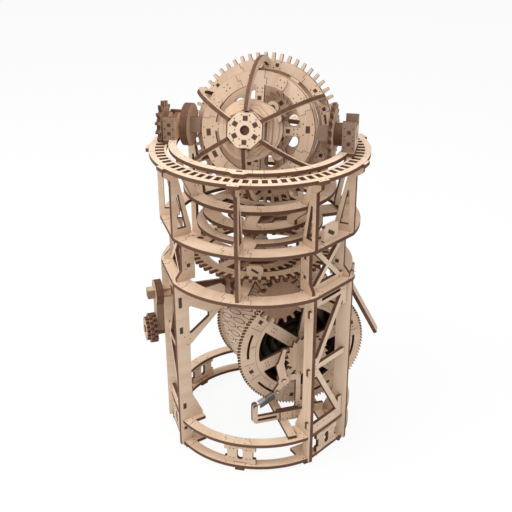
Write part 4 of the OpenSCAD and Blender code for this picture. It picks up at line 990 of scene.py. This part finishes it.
class CLOCK_OT_carriage_marks(bpy.types.Operator):
    """Mark the carriage's sheets with tenon ends, dots and seams"""

    bl_idname = "clock.carriage_marks"
    bl_label = "Carriage marks"

    def execute(self, context):
        marks = Marks(context.scene, "carriage_marks", "carriage")
        self.mark_towers(marks)
        self.mark_rings(marks)
        self.mark_wheels(marks)
        marks.finish()
        return {"FINISHED"}

    def mark_towers(self, marks):
        """Tenons through the cheeks of the two axle towers."""
        low, high = span("axle_towers")
        out = high.y - marks.sheet / 2
        centre = high.x - 5 * MM
        for x, tall in ((-centre, 18.5 * MM), (centre, high.z - low.z)):
            for y in (-out, out):
                for share in (0.28, 0.66):
                    at = basis((x, y, low.z + tall * share), (1, 0, 0), (0, math.copysign(1, y), 0))
                    marks.tenon(at, depth=marks.sheet + 2 * marks.sizes.relief)
                    face = at @ moved(0, 0, marks.sheet / MM / 2)
                    marks.dots(face, 3.2 * MM, 3.1 * MM)

    def mark_rings(self, marks):
        """Seams, dots and tenons on the carriage's rings."""
        top = span("carriage_ring")[1].z / MM
        for angle in range(-75, 270, 30):
            marks.dot(turned(angle) @ moved(67.6, 0, top))
            marks.dot(turned(angle) @ moved(71.0, 0, top))
        for angle in (-98, -82, 50, 130, 235, 305):
            marks.seam(turned(angle) @ moved(69.2, 0, top), 5.4 * MM)
        marks.tenon(turned(-90) @ moved(69.5, 0, top), 2.6 * MM, 4.5 * MM)
        low = span("carriage_lower_ring")[1].z / MM
        for angle in (20, 80, 140, 200, 260, 320):
            marks.tenon(turned(angle) @ moved(55.5, 0, low), 6.5 * MM, 2.7 * MM)
            for side in (-4.5, 4.5):
                marks.dot(turned(angle + side) @ moved(52.2, 0, low))
                marks.dot(turned(angle + side) @ moved(59.6, 0, low))
            marks.jigsaw(turned(angle + 22) @ moved(56, 0, low), 11 * MM)
        base = span("carriage_base")[1].z / MM
        for angle in range(0, 360, 45):
            marks.jigsaw(turned(angle + 11) @ moved(40.5, 0, base), 12 * MM)
            marks.dot(turned(angle + 17) @ moved(37, 0, base))
            marks.dot(turned(angle + 17) @ moved(44.4, 0, base))

    def mark_wheels(self, marks):
        """Seams and dots on the centre wheel and the drive gear."""
        for node, radius in (("drive_gear", 36.4), ("centre_wheels", 48.4)):
            low, high = span(node)
            z = (high.z if node == "centre_wheels" else low.z) / MM
            for angle in range(15, 375, 30):
                marks.dot(turned(angle) @ moved(radius, 0, z))
            for angle in range(30, 390, 60):
                marks.seam(turned(angle) @ moved(radius, 0, z), 7 * MM)
        wheel = span("centre_wheels")[1].z / MM
        marks.slotted(facing(-82, 49 * MM) @ moved(0, wheel + 4.4), 13 * MM, 8.8 * MM, marks.sheet)


class CLOCK_OT_cage_marks(bpy.types.Operator):
    """Mark the cage and its core with tenon ends, dots and seams"""

    bl_idname = "clock.cage_marks"
    bl_label = "Cage marks"

    def execute(self, context):
        self.mark_cage(context.scene)
        self.mark_core(context.scene)
        self.mark_escape(context.scene)
        return {"FINISHED"}

    def mark_escape(self, scene):
        """Tenons and dots on the escape wheel."""
        marks = Marks(scene, "escape_marks", "escape")
        face = span("escape_wheel", TOUR)[1].z
        centre = TOUR.inverted() @ joint_point("escape_turn")
        at = TOUR @ Matrix.Translation((centre.x, centre.y, face))
        for angle in (40, 160, 280):
            marks.tenon(at @ turned(angle) @ moved(5.6, 0), 3.4 * MM)
            marks.dot(at @ turned(angle + 60) @ moved(6.4, 0))
        marks.finish()

    def mark_cage(self, scene):
        """Tenons round the hub and on the cage ring."""
        marks = Marks(scene, "cage_marks", "cage")
        hub = span("hub_plate", TOUR)[1].z / MM
        for angle in RIBS:
            marks.tenon(TOUR @ turned(angle) @ moved(8.7, 0, hub), 3.7 * MM)
            marks.dot(TOUR @ turned(angle + 30) @ moved(7.4, 0, hub))
            for side in (-15, 15):
                marks.dot(TOUR @ turned(angle + side) @ moved(11.4, 0, hub))
        low, high = span("cage_ring", TOUR)
        for angle in RIBS:
            for turn in (-9, 9):
                for z in (low.z, high.z):
                    at = TOUR @ turned(angle + turn) @ moved(51, 0, z / MM)
                    marks.tenon(at)
                    marks.dots(at, 2.6 * MM, 2.6 * MM)
            for z in (low.z, high.z):
                marks.jigsaw(TOUR @ turned(angle + 24) @ moved(51, 0, z / MM), 7.6 * MM)
        for angle in (-2, 178):
            marks.tenon(TOUR @ turned(angle) @ moved(51, 0, high.z / MM), 3.4 * MM, 5.6 * MM)
            marks.tenon(TOUR @ turned(angle + 14) @ moved(50.4, 0, high.z / MM), 1.6 * MM, 7.5 * MM)
        block = TOUR @ turned(97.5) @ moved(51, 0, high.z / MM)
        marks.plate(block, 6.5 * MM, 6.5 * MM, 2.6 * MM, dotted=False)
        marks.tenon(block @ moved(0, 0, 2.6), 3.2 * MM)
        disc = span("hub_stack", TOUR)[0].z / MM
        for angle in range(0, 360, 60):
            marks.dot(TOUR @ turned(angle) @ moved(20.5, 0, disc))
        marks.finish()

    def mark_core(self, scene):
        """Tenons, dot plates and seams on the core's plates and on the great gear."""
        marks = Marks(scene, "core_marks", "core")
        front = span("core_front_ring", TOUR)[1].z / MM
        rear = span("core_rear_plate", TOUR)[0].z / MM
        for z in (front, rear):
            for angle in (3, 187, 213, 300):
                at = TOUR @ turned(angle) @ moved(39.5, 0, z)
                marks.tenon(at, 3.4 * MM, 5.4 * MM)
                for x in (-3.6, 3.6):
                    for y in (-4.2, 4.2):
                        marks.dot(at @ moved(x, y))
            for angle in (22, 84, 115, 170, 232, 262, 338):
                marks.jigsaw(TOUR @ turned(angle) @ moved(39.5, 0, z), 10 * MM)
        for angle in (40, 65, 152, 246, 322):
            at = TOUR @ turned(angle) @ moved(39.0, 0, front)
            marks.plate(at, 9 * MM, 7.5 * MM, 1.5 * MM)
        for angle in (100, 131, 280):
            marks.dots(TOUR @ turned(angle) @ moved(40, 0, front), 1.7 * MM, 1.7 * MM)
        for angle in (0, 90, 180, 270):
            marks.tenon(TOUR @ turned(angle) @ moved(24, 0, front), 3.2 * MM)
            marks.dots(TOUR @ turned(angle) @ moved(30, 0, front), 1.4 * MM, 1.9 * MM)
        inner = span("core_rear_plate", TOUR)[1].z / MM
        for angle in (30, 120, 150, 210, 240, 337):
            marks.tenon(TOUR @ turned(angle) @ moved(17.5, 0, inner), 3.6 * MM)
            marks.dots(TOUR @ turned(angle) @ moved(17.5, 0, inner), 2.9 * MM, 2.9 * MM)
        low, high = span("tourbillon_gear", TOUR)
        for z in (low.z / MM, high.z / MM):
            for angle in range(0, 360, 45):
                rim = TOUR @ turned(angle + 6)
                marks.tenon(rim @ moved(49.4, 0, z))
                marks.dots(rim @ moved(49.4, 0, z), 2.6 * MM, 2.4 * MM)
                for turn in (-15, -12, -9):
                    marks.seam(rim @ turned(turn) @ moved(53.2, 0, z) @ turned(90), 2.6 * MM)
                marks.jigsaw(rim @ turned(20) @ moved(49.4, 0, z), 10 * MM)
        marks.finish()


class CLOCK_OT_drum_marks(bpy.types.Operator):
    """Mark the drum with tenon ends, dots and seams"""

    bl_idname = "clock.drum_marks"
    bl_label = "Drum marks"

    def execute(self, context):
        marks = Marks(context.scene, "drum_marks", "drum")
        low, high = span("drum_rims", DRUM)
        for z in (low.z / MM, high.z / MM):
            for angle in range(10, 370, 60):
                at = DRUM @ turned(angle + 10) @ moved(47.5, 0, z)
                marks.tenon(at, 3.6 * MM)
                marks.dot(at @ moved(0, 4.4))
                marks.dot(at @ moved(0, -4.4))
                marks.seam(DRUM @ turned(angle + 1) @ moved(47, 0, z), 10 * MM)
                marks.seam(DRUM @ turned(angle + 19) @ moved(47, 0, z), 10 * MM)
                marks.jigsaw(DRUM @ turned(angle + 40) @ moved(43.7, 0, z), 5 * MM)
            for angle in range(20, 380, 60):
                arm = DRUM @ turned(angle)
                marks.dots(arm @ moved(32.5, 0, z), 1.2 * MM, 1.6 * MM)
                marks.seam(arm @ moved(24, 0, z), 0.9 * MM)
                marks.dot(arm @ moved(14.2, 2.2, z))
                marks.dot(arm @ moved(14.2, -2.2, z))
        marks.finish()
        return {"FINISHED"}


class CLOCK_OT_click_spring(bpy.types.Operator):
    """Wind the extension spring that pulls the click"""

    bl_idname = "clock.click_spring"
    bl_label = "Click spring"

    RINGS_PER_CURL = 20
    WIRE_SIDES = 10
    PIN_RADIUS = 1.2 * MM
    HOOK_ROOM = 3.4 * MM

    def execute(self, context):
        sizes = context.scene.clock_spring
        moving, fixed = self.ends()
        along = (fixed - moving).normalized()
        start = moving + along * self.HOOK_ROOM
        length = (fixed - moving).length - 2 * self.HOOK_ROOM
        out = joint_axis("drum_turn")
        bm = bmesh.new()
        self.wind(bm, sizes, basis(start, out, along), length)
        for pin, way in ((moving, along), (fixed, -along)):
            self.hook(bm, sizes, pin, way, out)
        bmesh.ops.remove_doubles(bm, verts=bm.verts, dist=MERGE)
        bmesh.ops.recalc_face_normals(bm, faces=bm.faces)
        for face in bm.faces:
            face.smooth = True
        spring = new_piece("click_spring_wire", bm, ("spring_steel",), None)
        fixed - along * self.HOOK_ROOM
        moving + along * self.HOOK_ROOM
        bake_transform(spring)
        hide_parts("click_spring")
        return {"FINISHED"}

    def ends(self):
        """Middles of the pins on the click and on the arm, level with the coil."""
        low, high = span("click_spring", DRUM)
        level = (low.z + high.z) / 2
        spots = [DRUM.inverted() @ v.co for v in frame["nodes"]["click_spring"].data.vertices]
        right = max(spots, key=lambda p: p.x)
        left = min(spots, key=lambda p: p.x)
        reach = Vector((left.x - right.x, left.y - right.y, 0)).normalized() * self.PIN_RADIUS
        first = Vector((right.x, right.y, level)) - reach
        last = Vector((left.x, left.y, level)) + reach
        return DRUM @ first, DRUM @ last

    def ring(self, bm, sizes, at):
        """Round section of the wire."""
        return bmesh.ops.create_circle(
            bm, cap_ends=False, segments=self.WIRE_SIDES, radius=sizes.wire / 2, matrix=at)["verts"]

    def sweep(self, bm, verts, centre, axis, angle, steps, climb):
        """Spins a section about an axis while it climbs along it."""
        edges = list({e for v in verts for e in v.link_edges})
        bmesh.ops.spin(bm, geom=verts + edges, cent=centre, axis=axis, dvec=axis * climb / steps,
                       angle=angle, steps=steps, use_merge=False, use_duplicate=False)

    def wind(self, bm, sizes, at, length):
        """The close curls between the two hooks."""
        section = at @ Matrix.Translation((sizes.coil, 0, 0)) @ Matrix.Rotation(math.pi / 2, 4, "X")
        verts = self.ring(bm, sizes, section)
        axis = at.to_3x3().col[2].normalized()
        self.sweep(bm, verts, at.translation, axis, 2 * math.pi * sizes.curls,
                   sizes.curls * self.RINGS_PER_CURL, length)

    def hook(self, bm, sizes, pin, way, out):
        """An open loop round a pin, and the straight wire from it to the coil's end."""
        loop_radius = self.PIN_RADIUS + sizes.wire * 0.55
        side = out.cross(way).normalized()
        foot = basis(pin + way * loop_radius, side, way)
        verts = self.ring(bm, sizes, basis(pin + way * loop_radius, out, side))
        self.sweep(bm, verts, pin, out, 1.7 * math.pi, 24, 0.0)
        run = self.HOOK_ROOM - loop_radius + sizes.wire / 2
        stem = self.ring(bm, sizes, foot)
        edges = list({e for v in stem for e in v.link_edges})
        grown = bmesh.ops.extrude_edge_only(bm, edges=edges)["geom"]
        tops = [v for v in grown if isinstance(v, bmesh.types.BMVert)]
        bmesh.ops.translate(bm, verts=tops, vec=way * run)
        rim = list({e for v in tops for e in v.link_edges if e.other_vert(v) in tops})
        arm = bmesh.ops.extrude_edge_only(bm, edges=rim)["geom"]
        ends = [v for v in arm if isinstance(v, bmesh.types.BMVert)]
        bmesh.ops.translate(bm, verts=ends, vec=out * sizes.coil + way * sizes.wire * 0.3)


class CLOCK_OT_mainspring(bpy.types.Operator):
    """Wind the flat power spring inside the drum"""

    bl_idname = "clock.mainspring"
    bl_label = "Mainspring"

    TURNS = 5
    STEP = 10
    THICKNESS = 0.9 * MM
    INNER = 13 * MM

    def execute(self, context):
        low, high = span("mainspring", DRUM)
        outer = high.x - self.THICKNESS
        steps = self.TURNS * 360 // self.STEP
        bm = bmesh.new()
        ends = [bm.verts.new((self.INNER, 0, z)) for z in (low.z, high.z)]
        edge = bm.edges.new(ends)
        axis = Vector((0, 0, 1))
        for index in range(steps):
            grown = bmesh.ops.extrude_edge_only(bm, edges=[edge])["geom"]
            verts = [v for v in grown if isinstance(v, bmesh.types.BMVert)]
            edge = next(e for e in grown if isinstance(e, bmesh.types.BMEdge)
                        and set(e.verts) == set(verts))
            turn = Matrix.Rotation(math.radians(self.STEP), 3, axis)
            now = self.INNER + (outer - self.INNER) * index / steps
            after = self.INNER + (outer - self.INNER) * (index + 1) / steps
            bmesh.ops.rotate(bm, cent=(0, 0, 0), matrix=turn, verts=verts)
            bmesh.ops.scale(bm, vec=(after / now, after / now, 1), verts=verts)
        bmesh.ops.recalc_face_normals(bm, faces=bm.faces)
        bmesh.ops.solidify(bm, geom=list(bm.faces), thickness=self.THICKNESS)
        bmesh.ops.transform(bm, matrix=DRUM, verts=bm.verts)
        bmesh.ops.recalc_face_normals(bm, faces=bm.faces)
        for face in bm.faces:
            face.smooth = face.calc_area() > 2e-6
        spring = new_piece("mainspring_strip", bm, ("blued_steel",), "drum")
        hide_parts("mainspring")
        return {"FINISHED"}


class CLOCK_OT_stage(bpy.types.Operator):
    """Set the camera, the pale floor and the soft light"""

    bl_idname = "clock.stage"
    bl_label = "Stage"

    FLOOR_HALF = 6.0

    def execute(self, context):
        scene = context.scene
        sizes = scene.clock_stage
        self.set_camera(scene, sizes)
        self.lay_floor(scene)
        self.light(scene, sizes)
        scene.view_settings.view_transform = "Standard"
        return {"FINISHED"}

    def set_camera(self, scene, sizes):
        """The camera at the photograph's angle."""
        data = bpy.data.cameras.new("clock_camera")
        data.lens = sizes.lens
        data.sensor_width = 36
        data.shift_x = sizes.shift
        data.clip_start = 0.01
        camera = bpy.data.objects.new("clock_camera", data)
        scene.collection.objects.link(camera)
        camera.location = (sizes.distance * math.sin(sizes.azimuth),
                           -sizes.distance * math.cos(sizes.azimuth), sizes.height)
        camera.rotation_euler = (math.pi / 2 - sizes.pitch, 0, sizes.azimuth)
        scene.camera = camera

    def lay_floor(self, scene):
        """A wide white floor under the feet that keeps a faint shadow."""
        bm = bmesh.new()
        bmesh.ops.create_grid(bm, x_segments=1, y_segments=1, size=self.FLOOR_HALF)
        mesh = bpy.data.meshes.new("floor")
        bm.to_mesh(mesh)
        bm.free()
        floor = bpy.data.objects.new("floor", mesh)
        scene.collection.objects.link(floor)
        sh = Shader("floor_white")
        rays = ("Is Camera Ray", "Is Glossy Ray", "Is Transmission Ray")
        camera, glossy, through = (sh.node("ShaderNodeLightPath", output=ray) for ray in rays)
        seen = (camera + glossy + through).clamped()
        glow = sh.node("ShaderNodeEmission", None, {"Color": (1, 1, 1, 1), "Strength": 1.0})
        sh.finish(Base_Color=(0.93, 0.93, 0.93, 1), Roughness=0.9)
        matt = Socket(sh, sh.surface.outputs[0])
        both = sh.node("ShaderNodeMixShader", None, {0: seen * 0.9, 1: matt, 2: glow})
        out = next(n for n in sh.tree.nodes if n.type == "OUTPUT_MATERIAL")
        sh.tree.links.new(both.link, out.inputs["Surface"])
        mesh.materials.append(sh.material)

    def light(self, scene, sizes):
        """An even white sky, a soft key from the left and a wide light overhead."""
        world = bpy.data.worlds.new("studio")
        scene.world = world
        world.use_nodes = True
        tree = world.node_tree
        back = next(n for n in tree.nodes if n.type == "BACKGROUND")
        path = tree.nodes.new("ShaderNodeLightPath")
        level = tree.nodes.new("ShaderNodeMapRange")
        level.inputs["To Min"].default_value = sizes.sky
        level.inputs["To Max"].default_value = 1.0
        tree.links.new(path.outputs["Is Camera Ray"], level.inputs["Value"])
        tree.links.new(level.outputs["Result"], back.inputs["Strength"])
        back.inputs["Color"].default_value = (1, 1, 1, 1)
        self.lamp(scene, "key", sizes.key, 0.9, (-0.8, -0.6, 1.2))
        self.lamp(scene, "ceiling", sizes.ceiling, 2.2, (-0.15, -0.3, 1.6))

    def lamp(self, scene, name, power, size, place):
        """A square soft light that faces the clock."""
        data = bpy.data.lights.new(name, "AREA")
        data.energy = power
        data.size = size
        lamp = bpy.data.objects.new(name, data)
        scene.collection.objects.link(lamp)
        lamp.location = place
        aim = Vector((0, 0, 0.17)) - Vector(place)
        lamp.rotation_euler = aim.to_track_quat("-Z", "Y").to_euler()


OPERATORS = (
    CLOCK_OT_stage, CLOCK_OT_tower, CLOCK_OT_carriage, CLOCK_OT_cage, CLOCK_OT_drive, CLOCK_OT_crank,
    CLOCK_OT_tower_marks, CLOCK_OT_carriage_marks, CLOCK_OT_cage_marks, CLOCK_OT_drum_marks,
    CLOCK_OT_click_spring, CLOCK_OT_mainspring,
)


class CLOCK_PT_panel(bpy.types.Panel):
    """Sidebar panel that lists the clock's steps"""

    bl_idname = "CLOCK_PT_panel"
    bl_label = "Wooden Table Clock"
    bl_space_type = "VIEW_3D"
    bl_region_type = "UI"
    bl_category = "Clock"

    def draw(self, context):
        for operator in OPERATORS:
            self.layout.operator(operator.bl_idname)


GROUPS = {
    "clock_wood": ClockWood,
    "clock_marks": ClockMarks,
    "clock_spring": ClockSpring,
    "clock_stage": ClockStage,
}
CLASSES = (*GROUPS.values(), *OPERATORS, CLOCK_PT_panel)


def register():
    for cls in CLASSES:
        bpy.utils.register_class(cls)
    for name, group in GROUPS.items():
        setattr(bpy.types.Scene, name, PointerProperty(type=group))


def unregister():
    for name in GROUPS:
        delattr(bpy.types.Scene, name)
    for cls in reversed(CLASSES):
        bpy.utils.unregister_class(cls)


def main():
    register()
    make_materials(bpy.context.scene)
    bpy.ops.clock.stage()
    bpy.ops.clock.tower()
    bpy.ops.clock.carriage()
    bpy.ops.clock.cage()
    bpy.ops.clock.drive()
    bpy.ops.clock.crank()
    bpy.ops.clock.tower_marks()
    bpy.ops.clock.carriage_marks()
    bpy.ops.clock.cage_marks()
    bpy.ops.clock.drum_marks()
    bpy.ops.clock.click_spring()
    bpy.ops.clock.mainspring()


if __name__ == "__main__":
    main()
